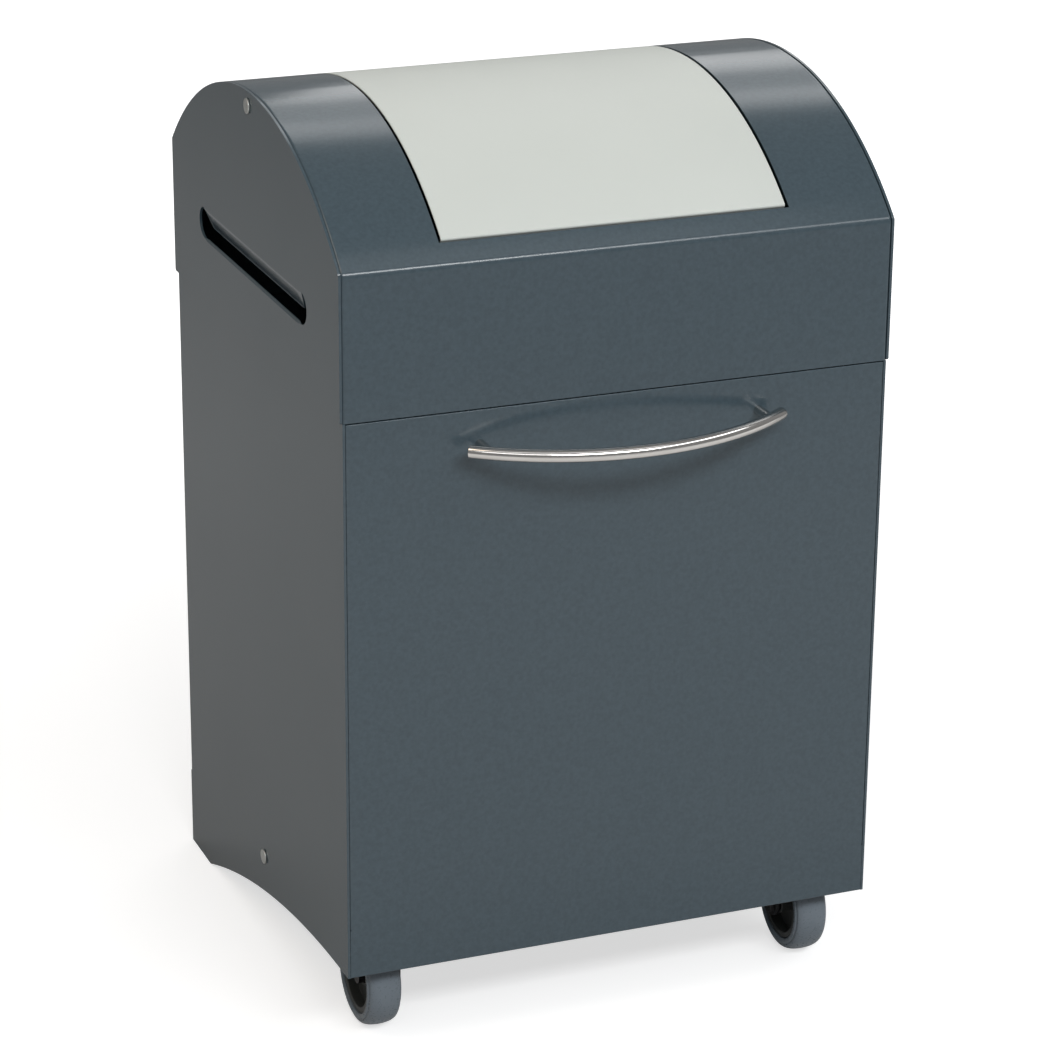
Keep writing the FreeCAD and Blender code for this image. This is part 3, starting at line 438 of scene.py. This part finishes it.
def buildHoodPlate(side, look):
    hand = handOf[side]
    x = side * hoodHalf
    tops = {round(y, placeDigits): z for run in hoodProfile(look["bend"]) for y, z, _, _ in run}
    slotHalf = look["slotLength"] / 2
    slotRadius = look["slotHeight"] / 2
    slotLevel = seamLevel + look["slotRise"]
    slotMid = slotHalf - slotRadius
    gripEnd = slotMid + look["gripRunOut"]
    roundY = [slotMid + slotRadius * math.sin(a) for a in quarterTurn(look["slotSteps"])]
    roundY += [gripEnd - look["gripTaper"] * k / look["taperSteps"] for k in range(1, look["taperSteps"] + 1)]
    corner = look["corner"]
    lowY = [halfDepth - corner + corner * math.sin(a) for a in quarterTurn(look["cornerSteps"])]
    places = sorted({round(s * y, placeDigits) for y in (*tops, *roundY, *lowY) for s in (-1, 1)})

    def topAt(y):
        if y in tops:
            return tops[y]
        return barrelLevel + math.sqrt(barrelRadius ** 2 - y ** 2)

    def lowAt(y):
        past = min(corner, max(0.0, abs(y) - (halfDepth - corner)))
        return seamLevel + corner - math.sqrt(corner ** 2 - past ** 2)

    def slotAt(y):
        past = max(0.0, abs(y) - slotMid)
        return math.sqrt(max(0.0, slotRadius ** 2 - past ** 2))

    def gripAt(y):
        t = min(1.0, max(0.0, (gripEnd - abs(y)) / look["gripTaper"]))
        return t * t * (3 - 2 * t)

    bm = bmesh.new()
    rows = []
    for y in places:
        half = slotAt(y)
        under = slotLevel - half - look["lowRoll"] * gripAt(y)
        rows.append([(x, y, z) for z in (lowAt(y), under, slotLevel + half, topAt(y))])
    addPatch(bm, rows, lambda i, j: j == 1 and abs(places[i] + places[i + 1]) < 2 * slotHalf)
    grip = [(0.0, 0.0)]  # (depth behind the plate, drop below the slot's upper edge)
    for length, start, end, steps in look["gripBends"]:
        step = length / steps
        for k in range(steps):
            a = math.radians(start + (end - start) * (k + 0.5) / steps)
            grip.append((grip[-1][0] + step * math.sin(a), grip[-1][1] + step * math.cos(a)))
    roll = [(look["lowRoll"] * (1 - math.cos(a)), look["lowRoll"] * (1 - math.sin(a)))
            for a in quarterTurn(look["rollSteps"])]
    upper = []
    lower = []
    for y in places:
        share = gripAt(y)
        if share < look["leastGrip"]:
            continue
        edge = slotLevel + slotAt(y)
        upper.append([(x - side * share * depth, y, edge - share * drop) for depth, drop in grip])
        edge = slotLevel - slotAt(y)
        lower.append([(x - side * share * depth, y, edge - share * drop) for depth, drop in roll])
    addPatch(bm, upper)
    addPatch(bm, lower)
    made = sheetMetal(bm, (side, 0, 0), look["gauge"], look["rim"])
    root = side * (hoodHalf - look["gauge"] * (1 - look["studRoot"]))
    stud = look["studLength"] + look["gauge"] * look["studRoot"]
    thick = look["studRadius"]
    section = rounded([(0, 0), (0, thick), (stud, thick), (stud, 0)], look["studSoft"])
    for k in (-1, 0, 1):
        base = (root, k * look["studPitch"], seamLevel + look["studRise"])
        addTurned(made, section, base, (-side, 0, 0), look["studSteps"])
    placePiece("hood_plate_" + hand, made, "hood_side_" + hand)


for side in (-1, 1):
    buildHoodPlate(side, hoodPlate)
print("hood plates built")


# hood shell: one bent sheet with flanges along the plates and the mouth for the flap

hoodShell = {
    "gauge": 0.0015, "rim": 0.0004, "bend": 0.008, "edge": 0.0024, "flange": 0.012,
    "mouthHalf": 0.1388, "mouthReach": 0.1935, "lapTop": 0.0255, "lapStep": 0.0005,
    "axleNotch": 0.0062, "notchStep": 0.0004, "notchDepth": 0.0052,
}


def buildHoodShell(look):
    edge = look["edge"]
    notch = look["axleNotch"]
    flangeIn = halfDepth - look["flange"]
    innerCorner = barrelLevel + math.sqrt((barrelRadius - look["flange"]) ** 2 - flangeIn ** 2)
    stops = [s * y for y in (look["mouthReach"], notch, notch + look["notchStep"]) for s in (-1, 1)]
    front, over, back = hoodProfile(look["bend"], stops)
    lapLevel = seamLevel + look["lapTop"]
    down = [(-halfDepth, z, -1.0, 0.0) for z in (seamLevel, lapLevel, lapLevel + look["lapStep"])]
    up = [(-y, z, -ny, nz) for y, z, ny, nz in reversed(down)]
    profile = down + front + over + back + up
    columns = [-shellHalf + edge, -look["mouthHalf"], look["mouthHalf"], shellHalf - edge]
    bm = bmesh.new()

    def inMouth(i, j):
        y = (profile[i][0] + profile[i + 1][0]) / 2
        z = min(profile[i][1], profile[i + 1][1])
        return j == 1 and abs(y) < look["mouthReach"] and z > bendLevel

    addPatch(bm, [[(x, y, z) for x in columns] for y, z, _, _ in profile], inMouth)
    for side in (-1, 1):
        curl = []
        flange = []
        for y, z, ny, nz in profile:
            row = []
            for a in quarterTurn(bendSteps):
                sink = edge * (1 - math.cos(a))
                row.append((side * (shellHalf - edge + edge * math.sin(a)), y - ny * sink, z - nz * sink))
            curl.append(row)
            if z <= lapLevel:  # no flange where the housing's tongue stands
                continue
            depth = look["notchDepth"] if abs(y) <= notch + weldGap else look["flange"]
            inY = y - ny * depth
            inZ = z - nz * depth
            if abs(inY) > flangeIn - weldGap:  # the upright runs end at the flange's inner corner
                inY = math.copysign(flangeIn, y)
                inZ = min(inZ, innerCorner)
            flange.append([row[-1], (side * shellHalf, inY, inZ)])
        addPatch(bm, curl)
        addPatch(bm, flange)
    placePiece("hood_skin", sheetMetal(bm, (0, -1, 0), look["gauge"], look["rim"]), "hood_shell")


buildHoodShell(hoodShell)
print("hood shell built")


# swing flap: a curved sheet that closes the mouth, with its front and rear edges folded down

flapSheet = {"gauge": 0.0015, "rim": 0.0006, "steps": 56, "hem": 0.010, "bend": 0.0018}


def buildFlap(look):
    low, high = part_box("flap_panel")
    bend = look["bend"]
    reach = math.asin(high.y / barrelRadius)
    fold = [(look["hem"], 0.0)]  # (depth below the sheet, distance in from the edge)
    fold += [(bend * (1 - math.sin(a)), bend * (1 - math.cos(a))) for a in quarterTurn(bendSteps)]
    hem = [(math.cos(reach) * inward - math.sin(reach) * (barrelRadius - depth),
            math.cos(reach) * (barrelRadius - depth) + math.sin(reach) * inward) for depth, inward in fold]
    span = reach - bend / barrelRadius
    angles = [-span + 2 * span * k / look["steps"] for k in range(1, look["steps"])]
    profile = hem + [(barrelRadius * math.sin(a), barrelRadius * math.cos(a)) for a in angles]
    profile += [(-y, z) for y, z in reversed(hem)]
    bm = bmesh.new()
    addPatch(bm, [[(x, y, barrelLevel + z) for x in (low.x, 0.0, high.x)] for y, z in profile])
    placePiece("flap_sheet", sheetMetal(bm, (0, 0, 1), look["gauge"], look["rim"]), "flap_panel")


buildFlap(flapSheet)
print("flap built")


# housing sides: plates with a swept lower edge, a rear foot, a rear flange and a tongue inside the hood

housingSide = {
    "gauge": 0.002, "rim": 0.0004, "bend": 0.0025, "flange": 0.018, "groundGap": 0.067, "footLength": 0.052,
    "tongueInset": 0.002, "relief": 0.001, "archSteps": 40,
}


def buildHousingSide(side, look):
    node = "body_side_" + handOf[side]
    low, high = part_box(node)
    x = side * max(abs(low.x), abs(high.x))
    bend = look["bend"]
    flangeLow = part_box("back_panel")[0].z
    footStart = halfDepth - look["footLength"]
    span = footStart + halfDepth
    arch = (span ** 2 + look["groundGap"] ** 2) / (2 * look["groundGap"])
    flat = halfDepth - bend
    places = [-halfDepth, look["tongueInset"] - halfDepth]
    places += [-halfDepth + span * k / look["archSteps"] for k in range(1, look["archSteps"] + 1)]
    places.append(flat)

    def lowAt(y):
        if y >= footStart:
            return 0.0
        return look["groundGap"] - arch + math.sqrt(arch ** 2 - (y + halfDepth) ** 2)

    bm = bmesh.new()
    footTop = flangeLow - look["relief"]
    levels = (0.0, footTop, flangeLow, seamLevel)
    addPatch(bm, [[(x, y, max(lowAt(y), z)) for z in levels] for y in places])
    addPatch(bm, [[(x, y, z) for z in (seamLevel, high.z)] for y in places[1:]])  # tongue
    addPatch(bm, [[(x, y, z) for z in (0.0, footTop)] for y in (flat, halfDepth)])  # foot
    turn = [(x - side * bend * (1 - math.cos(a)), flat + bend * math.sin(a)) for a in quarterTurn(bendSteps)]
    turn.append((x - side * look["flange"], halfDepth))
    addPatch(bm, [[(px, py, z) for z in (flangeLow, seamLevel)] for px, py in turn])
    made = sheetMetal(bm, (side, 0, 0), look["gauge"], look["rim"])
    placePiece("housing_side_" + handOf[side], made, node)


for side in (-1, 1):
    buildHousingSide(side, housingSide)
print("housing sides built")


# tilting front: a shallow pan with closed corners, a top lip and a narrow sill

frontPan = {
    "gauge": 0.0009, "rim": 0.0002, "bend": 0.0007, "coat": 0.0006, "lip": 0.012, "sill": 0.009,
    "returnRise": 0.041, "relief": 0.0012,
}


def buildFrontPan(look):
    low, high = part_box("front_panel")
    r = look["bend"]
    half = high.x + look["coat"]  # the coat fills a little of the gap at each side
    face = low.y
    top = high.z
    quarter = quarterTurn(bendSteps)
    returnLow = low.z + look["returnRise"]
    reliefLow = returnLow - look["relief"]
    bm = bmesh.new()
    inner = (-half + r, half - r)
    upper = top - r
    lower = low.z + r
    columns = (-half, *inner, half)
    addPatch(bm, [[(x, face, z) for z in (lower, reliefLow)] for x in columns])
    addPatch(bm, [[(x, face, z) for z in (reliefLow, returnLow, upper)] for x in inner])
    sill = [(face + r - r * math.cos(a), lower - r * math.sin(a)) for a in quarter]
    sill.append((face + look["sill"], low.z))
    addPatch(bm, [[(x, y, z) for y, z in sill] for x in columns])
    over = [(face + r - r * math.cos(a), upper + r * math.sin(a)) for a in quarter]
    over += [(high.y - r + r * math.sin(a), upper + r * math.cos(a)) for a in quarter]
    over.append((high.y, top - look["lip"]))
    addPatch(bm, [[(x, y, z) for y, z in over] for x in inner])
    for side in (-1, 1):
        turn = [(side * (half - r + r * math.sin(a)), face + r - r * math.cos(a)) for a in quarter]
        turn += [(side * half, high.y - r), (side * half, high.y)]
        addPatch(bm, [[(x, y, z) for z in (returnLow, upper)] for x, y in turn])
        ball = [[(side * (half - r + r * math.sin(a) * math.cos(b)), face + r - r * math.cos(a) * math.cos(b),
                  upper + r * math.sin(b)) for a in quarter] for b in quarter]
        addPatch(bm, ball)
        edge = [(side * (half - r + r * math.cos(b)), upper + r * math.sin(b)) for b in quarter]
        addPatch(bm, [[(x, y, z) for x, z in edge] for y in (face + r, high.y - r)])
    placePiece("front_pan", sheetMetal(bm, (0, -1, 0), look["gauge"], look["rim"]), "front_panel")


buildFrontPan(frontPan)
print("tilting front built")


# bow handle: a round bar bent to an arc, with softened square ends

bowHandle = {"bowRadius": 0.20465, "steps": 72, "around": 32, "endSoft": 0.0009, "endSteps": 3}


def buildHandle(look):
    low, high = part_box("handle_bar")
    radius = (high.z - low.z) / 2
    level = (high.z + low.z) / 2
    bow = look["bowRadius"]
    around = look["around"]
    girth = 2 * math.pi * radius / around
    centreY = low.y + bow + radius
    reach = math.asin(high.x / (bow + radius))
    soft = look["endSoft"]
    rings = [(-reach + 2 * reach * k / look["steps"], radius) for k in range(1, look["steps"])]
    for a in quarterTurn(look["endSteps"]):
        angle = reach + soft * math.sin(a) / bow - soft / bow
        size = radius - soft * (1 - math.cos(a))
        rings += [(-angle, size), (angle, size)]
    rings.sort()
    bm = bmesh.new()
    loops = []
    for angle, size in rings:
        out = Vector((math.sin(angle), -math.cos(angle), 0))
        centre = Vector((0, centreY, level)) + out * bow
        loop = []
        for k in range(around):
            a = 2 * math.pi * k / around
            loop.append(bm.verts.new(centre + out * size * math.cos(a) + Vector((0, 0, size * math.sin(a)))))
        loops.append(loop)
    place = bm.loops.layers.uv.new(barMap)
    for (here, _), (there, _), one, two in zip(rings, rings[1:], loops, loops[1:]):
        for k in range(around):
            after = (k + 1) % around
            face = bm.faces.new((one[k], one[after], two[after], two[k]))
            spots = ((here, k), (here, k + 1), (there, k + 1), (there, k))
            for loop, (angle, step) in zip(face.loops, spots):
                loop[place].uv = (angle * bow, step * girth)
    for loop in (loops[0], loops[-1]):
        face = bm.faces.new(loop)
        for corner in face.loops:
            corner[place].uv = (corner.vert.co.y, corner.vert.co.z)
    cleaned(bm)
    placePiece("handle_bow", bm, "handle_bar")


buildHandle(bowHandle)
print("handle built")


# screws of the axle and the tie rod: low, slightly domed heads

lowHead = {
    "head": 0.006, "height": 0.002, "soft": 0.0007, "dome": 0.0003, "domeDrop": 0.0001, "domeRing": 0.45,
    "shank": 0.012, "shankRadius": {"axle_screws": 0.0025, "tie_screws": 0.003}, "around": 40,
}


def buildScrews(node, look):
    low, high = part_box(node)
    centre = (low + high) / 2
    shank = look["shankRadius"][node]
    height = look["height"]
    profile = [(-look["shank"], 0), (-look["shank"], shank), (0, shank), (0, look["head"]),
               (height - look["dome"], look["head"]),
               (height - look["domeDrop"], look["head"] * look["domeRing"]), (height, 0)]
    bm = bmesh.new()
    for side in (-1, 1):
        base = (side * (high.x - height), centre.y, centre.z)
        addTurned(bm, rounded(profile, look["soft"]), base, (side, 0, 0), look["around"])
    cleaned(bm)
    placePiece(node.replace("screws", "screw_pair"), bm, node)


for node in lowHead["shankRadius"]:
    buildScrews(node, lowHead)
print("screws built")


# wheels: a smooth rounded tyre with a bead, on a moulded hub with an open recess

wheelForm = {
    "tyreDepth": 0.010, "roundness": 2.3, "groove": 0.0012, "treadSteps": 16,
    "bead": 0.0050, "beadRise": 0.0018, "beadSteps": 12, "lipGap": 0.0004, "coreInset": 0.002, "rim": 0.005,
    "web": 0.006, "webInset": 0.009, "boss": 0.009, "bossLength": 0.020, "bore": 0.0062, "soft": 0.0009,
    "around": 72,
}


def buildWheel(side, look):
    hand = handOf[side]
    low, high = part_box("tyre_" + hand)
    centre = (low + high) / 2
    wide = (high.x - low.x) / 2
    tread = (high.z - low.z) / 2
    hub = tread - look["tyreDepth"]
    shoulder = wide - look["groove"]
    base = hub + look["bead"]
    bulge = 2 / look["roundness"]
    tyre = []  # (place along the bolt, radius)
    for k in range(look["beadSteps"] + 1):  # a round bead along the tyre's side
        a = math.pi * k / look["beadSteps"]
        tyre.append((look["beadRise"] * (1 - math.sin(a)) - wide, hub + look["bead"] * (1 - math.cos(a)) / 2))
    for a in quarterTurn(look["treadSteps"])[:-1]:  # the rounded tread, almost to its middle
        tyre.append((-shoulder * math.cos(a) ** bulge, base + (tread - base) * math.sin(a) ** bulge))
    tyre += [(0.0, tread)] + [(-along, radius) for along, radius in reversed(tyre)]
    bm = bmesh.new()
    addTurned(bm, tyre + [tyre[0]], centre, (side, 0, 0), look["around"])
    cleaned(bm)
    placePiece("wheel_tyre_" + hand, bm, "tyre_" + hand)
    hubWide = wide - look["coreInset"]
    webLow = look["webInset"] - hubWide
    webHigh = webLow + look["web"]
    bossHigh = look["bossLength"] - wide
    inner = hub - look["rim"]
    outer = hub - look["lipGap"]
    boss = look["boss"]
    core = [(-wide, look["bore"]), (-wide, boss), (webLow, boss), (webLow, inner), (-hubWide, inner),
            (-hubWide, outer), (hubWide, outer), (hubWide, inner), (webHigh, inner), (webHigh, boss),
            (bossHigh, boss), (bossHigh, look["bore"])]
    core = rounded(core, look["soft"])
    bm = bmesh.new()
    addTurned(bm, core + [core[0]], centre, (side, 0, 0), look["around"])
    cleaned(bm)
    placePiece("wheel_core_" + hand, bm, "wheel_hub_" + hand)


for side in (-1, 1):
    buildWheel(side, wheelForm)
print("wheels built")


# inner container: a moulded bucket with rounded corners and a turned-out rim

bucket = {
    "wall": 0.0022, "draft": 0.009, "rim": 0.004, "rimHeight": 0.007, "rimRound": 0.001,
    "corner": 0.024, "cornerLoss": 0.4, "leastCorner": 0.002, "cornerSteps": 8, "foot": 0.008, "footSteps": 5,
    # the rim's outer edge: (inset, rise) from its underside, then (inset, drop) from its top
    "rimUnder": ((0.0004, 0.0), (0.0, 0.0006)),
    "rimTop": ((0.0, 0.0016), (0.0005, 0.0004), (0.0018, 0.0)),
}


def buildBucket(look):
    low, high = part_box("inner_container")
    midY = (low.y + high.y) / 2
    halfX = high.x
    halfY = (high.y - low.y) / 2
    depth = high.z - low.z
    foot = look["foot"]

    def ring(inset, z):
        radius = max(look["leastCorner"], look["corner"] - inset * look["cornerLoss"])
        made = []
        # each corner's side in x and y, and where its arc starts in half turns
        for sx, sy, start in ((1, 1, 0.0), (-1, 1, 0.5), (-1, -1, 1.0), (1, -1, 1.5)):
            cx = sx * (halfX - inset - radius)
            cy = midY + sy * (halfY - inset - radius)
            for k in range(look["cornerSteps"] + 1):
                a = math.pi * (start + 0.5 * k / look["cornerSteps"])
                made.append((cx + radius * math.cos(a), cy + radius * math.sin(a), z))
        return made

    def wallInset(z):
        return look["rim"] + look["draft"] * (high.z - z) / depth

    def footRings(base, thick):
        made = []
        for a in quarterTurn(look["footSteps"]):
            z = base + foot * (1 - math.cos(a))
            made.append(ring(wallInset(z) + thick + foot * (1 - math.sin(a)), z))
        return made

    under = high.z - look["rimHeight"]
    mouth = look["rim"] + look["wall"]
    rings = footRings(low.z, 0.0)
    rings.append(ring(wallInset(under), under))
    rings += [ring(inset, under + rise) for inset, rise in look["rimUnder"]]
    rings += [ring(inset, high.z - drop) for inset, drop in look["rimTop"]]
    rings += [ring(mouth - look["rimRound"], high.z), ring(mouth, high.z - look["rimRound"])]
    rings += reversed(footRings(low.z + look["wall"], look["wall"]))
    bm = bmesh.new()
    loops = [[bm.verts.new(co) for co in places] for places in rings]
    count = len(loops[0])
    for one, two in zip(loops, loops[1:]):
        for k in range(count):
            after = (k + 1) % count
            bm.faces.new((one[k], one[after], two[after], two[k]))
    bm.faces.new(list(reversed(loops[0])))
    bm.faces.new(loops[-1])
    cleaned(bm)
    placePiece("waste_bucket", bm, "inner_container")


buildBucket(bucket)
print("container built")


# the other CAD nodes keep their shape, with eased edges and their finish

easedEdge = {
    "default": 0.0003, "back_panel": 0.0004, "catch_magnet": 0.0008, "stop_roller_left": 0.001,
    "stop_roller_right": 0.001, "handle_posts": 0.0003, "back_rivets": 0.0006,
}
nodeAngle = 48  # degrees: sharper edges of a CAD node are eased
nodeWeld = 0.000005


def easeEdges(node, look):
    obj = nodes[node]
    weld = obj.modifiers.new("weld", "WELD")
    weld.merge_threshold = nodeWeld
    soften(obj, look.get(node, look["default"]), nodeAngle)
    evenShade(obj)


for node, obj in nodes.items():
    for place in obj.material_slots:
        place.material = finishOf[slotOf[node]]
    if not obj.hide_render:
        easeEdges(node, easedEdge)
print("CAD nodes dressed:", sum(not obj.hide_render for obj in nodes.values()))


# stage: a pale floor and a white surround

stageLook = {
    "floorHalf": 14.0, "floorTone": (0.58, 0.58, 0.58),
    "nearLift": 0.65, "farLift": 1.0, "near": 0.5, "far": 2.0,  # whiter away from the object
    # how much of the floor's white shows in gloss, by the floor's own y: a painted pool of light in front of
    # the object, and painted shade next to and behind it
    "paintedGlow": ((-1.75, 0.02), (-1.35, 0.33), (-0.90, 0.42), (-0.50, 0.46), (-0.30, 0.22), (-0.15, 0.03)),
    "paintedGlowFrom": -2.0, "paintedGlowTo": 0.0, "ambient": 0.20, "worldGloss": 0.08,
}


def seenFactor(tree, glossShare=1.0, shareFrom=None):
    # 1 for what the camera sees directly or through glass, less for what shows in gloss
    path = tree.nodes.new("ShaderNodeLightPath")
    gloss = maths(tree, "MULTIPLY", path.outputs["Is Glossy Ray"])
    gloss.inputs[1].default_value = glossShare
    if shareFrom is not None:
        tree.links.new(shareFrom, gloss.inputs[1])
    seen = maths(tree, "MAXIMUM", path.outputs["Is Camera Ray"], gloss.outputs[0])
    return maths(tree, "MAXIMUM", seen.outputs[0], path.outputs["Is Transmission Ray"]).outputs[0]


# painted light and shade on the floor for gloss rays: the share of its white that reflections see is high in
# front of the object and low next to and behind it
def floorPaintedGlow(tree, look, y):
    start, end = look["paintedGlowFrom"], look["paintedGlowTo"]
    across = ranged(tree, y, start, end, 0.0, 1.0)
    share = tree.nodes.new("ShaderNodeValToRGB")
    share.color_ramp.interpolation = "EASE"
    stops = share.color_ramp.elements
    stops.remove(stops[0])
    for k, (at, level) in enumerate(look["paintedGlow"]):
        place = (at - start) / (end - start)
        stop = stops.new(place) if k else stops[0]
        stop.position = place
        stop.color = (level, level, level, 1.0)
    tree.links.new(across.outputs["Result"], share.inputs["Fac"])
    return share.outputs["Color"]


def makeFloorFinish(name, look):
    material = bpy.data.materials.new(name)
    material.use_nodes = True
    tree = material.node_tree
    tree.nodes.clear()
    out = tree.nodes.new("ShaderNodeOutputMaterial")
    matt = tree.nodes.new("ShaderNodeBsdfDiffuse")
    matt.inputs["Color"].default_value = (*look["floorTone"], 1.0)
    glow = tree.nodes.new("ShaderNodeEmission")
    place = tree.nodes.new("ShaderNodeTexCoord").outputs["Object"]
    split = tree.nodes.new("ShaderNodeSeparateXYZ")
    tree.links.new(place, split.inputs[0])
    distance = tree.nodes.new("ShaderNodeVectorMath")
    distance.operation = "LENGTH"
    tree.links.new(place, distance.inputs[0])
    away = distance.outputs["Value"]
    fade = ranged(tree, away, look["near"], look["far"], look["nearLift"], look["farLift"])
    fade.interpolation_type = "SMOOTHSTEP"
    # the glow that reflections see on the floor is painted light, shaped by the floor's y
    seen = seenFactor(tree, shareFrom=floorPaintedGlow(tree, look, split.outputs["Y"]))
    lift = maths(tree, "MULTIPLY", seen, fade.outputs["Result"])
    both = tree.nodes.new("ShaderNodeAddShader")
    tree.links.new(lift.outputs[0], glow.inputs["Strength"])
    tree.links.new(matt.outputs[0], both.inputs[0])
    tree.links.new(glow.outputs[0], both.inputs[1])
    tree.links.new(both.outputs[0], out.inputs["Surface"])
    return material


def buildStage(look):
    bm = bmesh.new()
    h = look["floorHalf"]
    addPatch(bm, [[(x, y, 0.0) for y in (-h, h)] for x in (h, -h)])
    mesh = bpy.data.meshes.new("floor")
    bm.to_mesh(mesh)
    bm.free()
    floor = bpy.data.objects.new("floor", mesh)
    bpy.context.scene.collection.objects.link(floor)
    mesh.materials.append(makeFloorFinish("paleFloor", look))

    world = bpy.data.worlds.new("surround")
    bpy.context.scene.world = world
    world.use_nodes = True
    tree = world.node_tree
    back = tree.nodes["Background"]
    back.inputs["Color"].default_value = (1.0, 1.0, 1.0, 1.0)
    level = ranged(tree, seenFactor(tree, look["worldGloss"]), 0.0, 1.0, look["ambient"], 1.0)
    tree.links.new(level.outputs["Result"], back.inputs["Strength"])


buildStage(stageLook)


# lamps and camera: azimuth 0 is the front, 90 the right

coolWhite = (0.98, 0.99, 1.0)
warmWhite = (1.0, 0.85, 0.69)
plainWhite = (1.0, 1.0, 1.0)
lampAim = (0.0, 0.0, 0.66)
softLamps = {
    # name: (azimuth, elevation, distance, width, height, watts, colour)
    "keySoftbox": (5.5, 36.5, 6.1, 3.95, 1.08, 196.0, coolWhite),
    "keyLeft": (-31.0, 37.0, 6.1, 3.6, 1.08, 30.0, coolWhite),
    "keyRight": (56.0, 40.0, 6.1, 4.8, 1.11, 60.0, coolWhite),
    "stripSoft": (2.0, 66.0, 2.6, 2.6, 0.62, 4.3, coolWhite),
    "leftFill": (-80.0, 48.0, 2.8, 1.4, 1.4, 15.6, warmWhite),
    "backLow": (148.0, 25.0, 2.6, 1.48, 0.63, 5.5, plainWhite),
    "backMiddle": (147.0, 40.5, 2.6, 1.6, 0.59, 2.75, plainWhite),
    "backHigh": (161.0, 48.8, 2.6, 2.2, 0.42, 5.4, plainWhite),
}


def direction(azimuth, elevation):
    a = math.radians(azimuth)
    e = math.radians(elevation)
    return Vector((math.sin(a) * math.cos(e), -math.cos(a) * math.cos(e), math.sin(e)))


def buildLamps(look):
    for name, (azimuth, elevation, distance, width, height, watts, colour) in look.items():
        away = direction(azimuth, elevation)
        data = bpy.data.lights.new(name, "AREA")
        data.shape = "RECTANGLE"
        data.size = width
        data.size_y = height
        data.energy = watts
        data.color = colour
        lamp = bpy.data.objects.new(name, data)
        bpy.context.scene.collection.objects.link(lamp)
        lamp.location = Vector(lampAim) + away * distance
        lamp.rotation_mode = "QUATERNION"
        lamp.rotation_quaternion = away.to_track_quat("Z", "Y")
        lamp.visible_camera = False


buildLamps(softLamps)
print("stage and lamps set")

photoCamera = {
    "azimuth": -21.81, "elevation": 20.65, "roll": 0.51, "distance": 2.914, "right": 0.0106, "up": -0.1134,
    "lookAt": (0.0, 0.0, 0.45), "focalPixels": 3669.0, "framePixels": 1064.0, "sensor": 36.0, "clipEnd": 60.0,
}


def buildCamera(look):
    a = math.radians(look["azimuth"])
    t = math.radians(look["roll"])
    back = direction(look["azimuth"], look["elevation"])
    across = Vector((math.cos(a), math.sin(a), 0.0))
    upright = back.cross(across)
    right = across * math.cos(t) + upright * math.sin(t)
    up = upright * math.cos(t) - across * math.sin(t)
    data = bpy.data.cameras.new("photoCamera")
    data.sensor_width = look["sensor"]
    data.lens = look["focalPixels"] / look["framePixels"] * look["sensor"]
    data.clip_end = look["clipEnd"]
    camera = bpy.data.objects.new("photoCamera", data)
    bpy.context.scene.collection.objects.link(camera)
    spot = Vector(look["lookAt"]) + right * look["right"] + up * look["up"] + back * look["distance"]
    camera.matrix_world = Matrix.Translation(spot) @ Matrix((right, up, back)).transposed().to_4x4()
    bpy.context.scene.camera = camera


buildCamera(photoCamera)
bpy.context.scene.view_settings.view_transform = "Standard"
print("camera set")
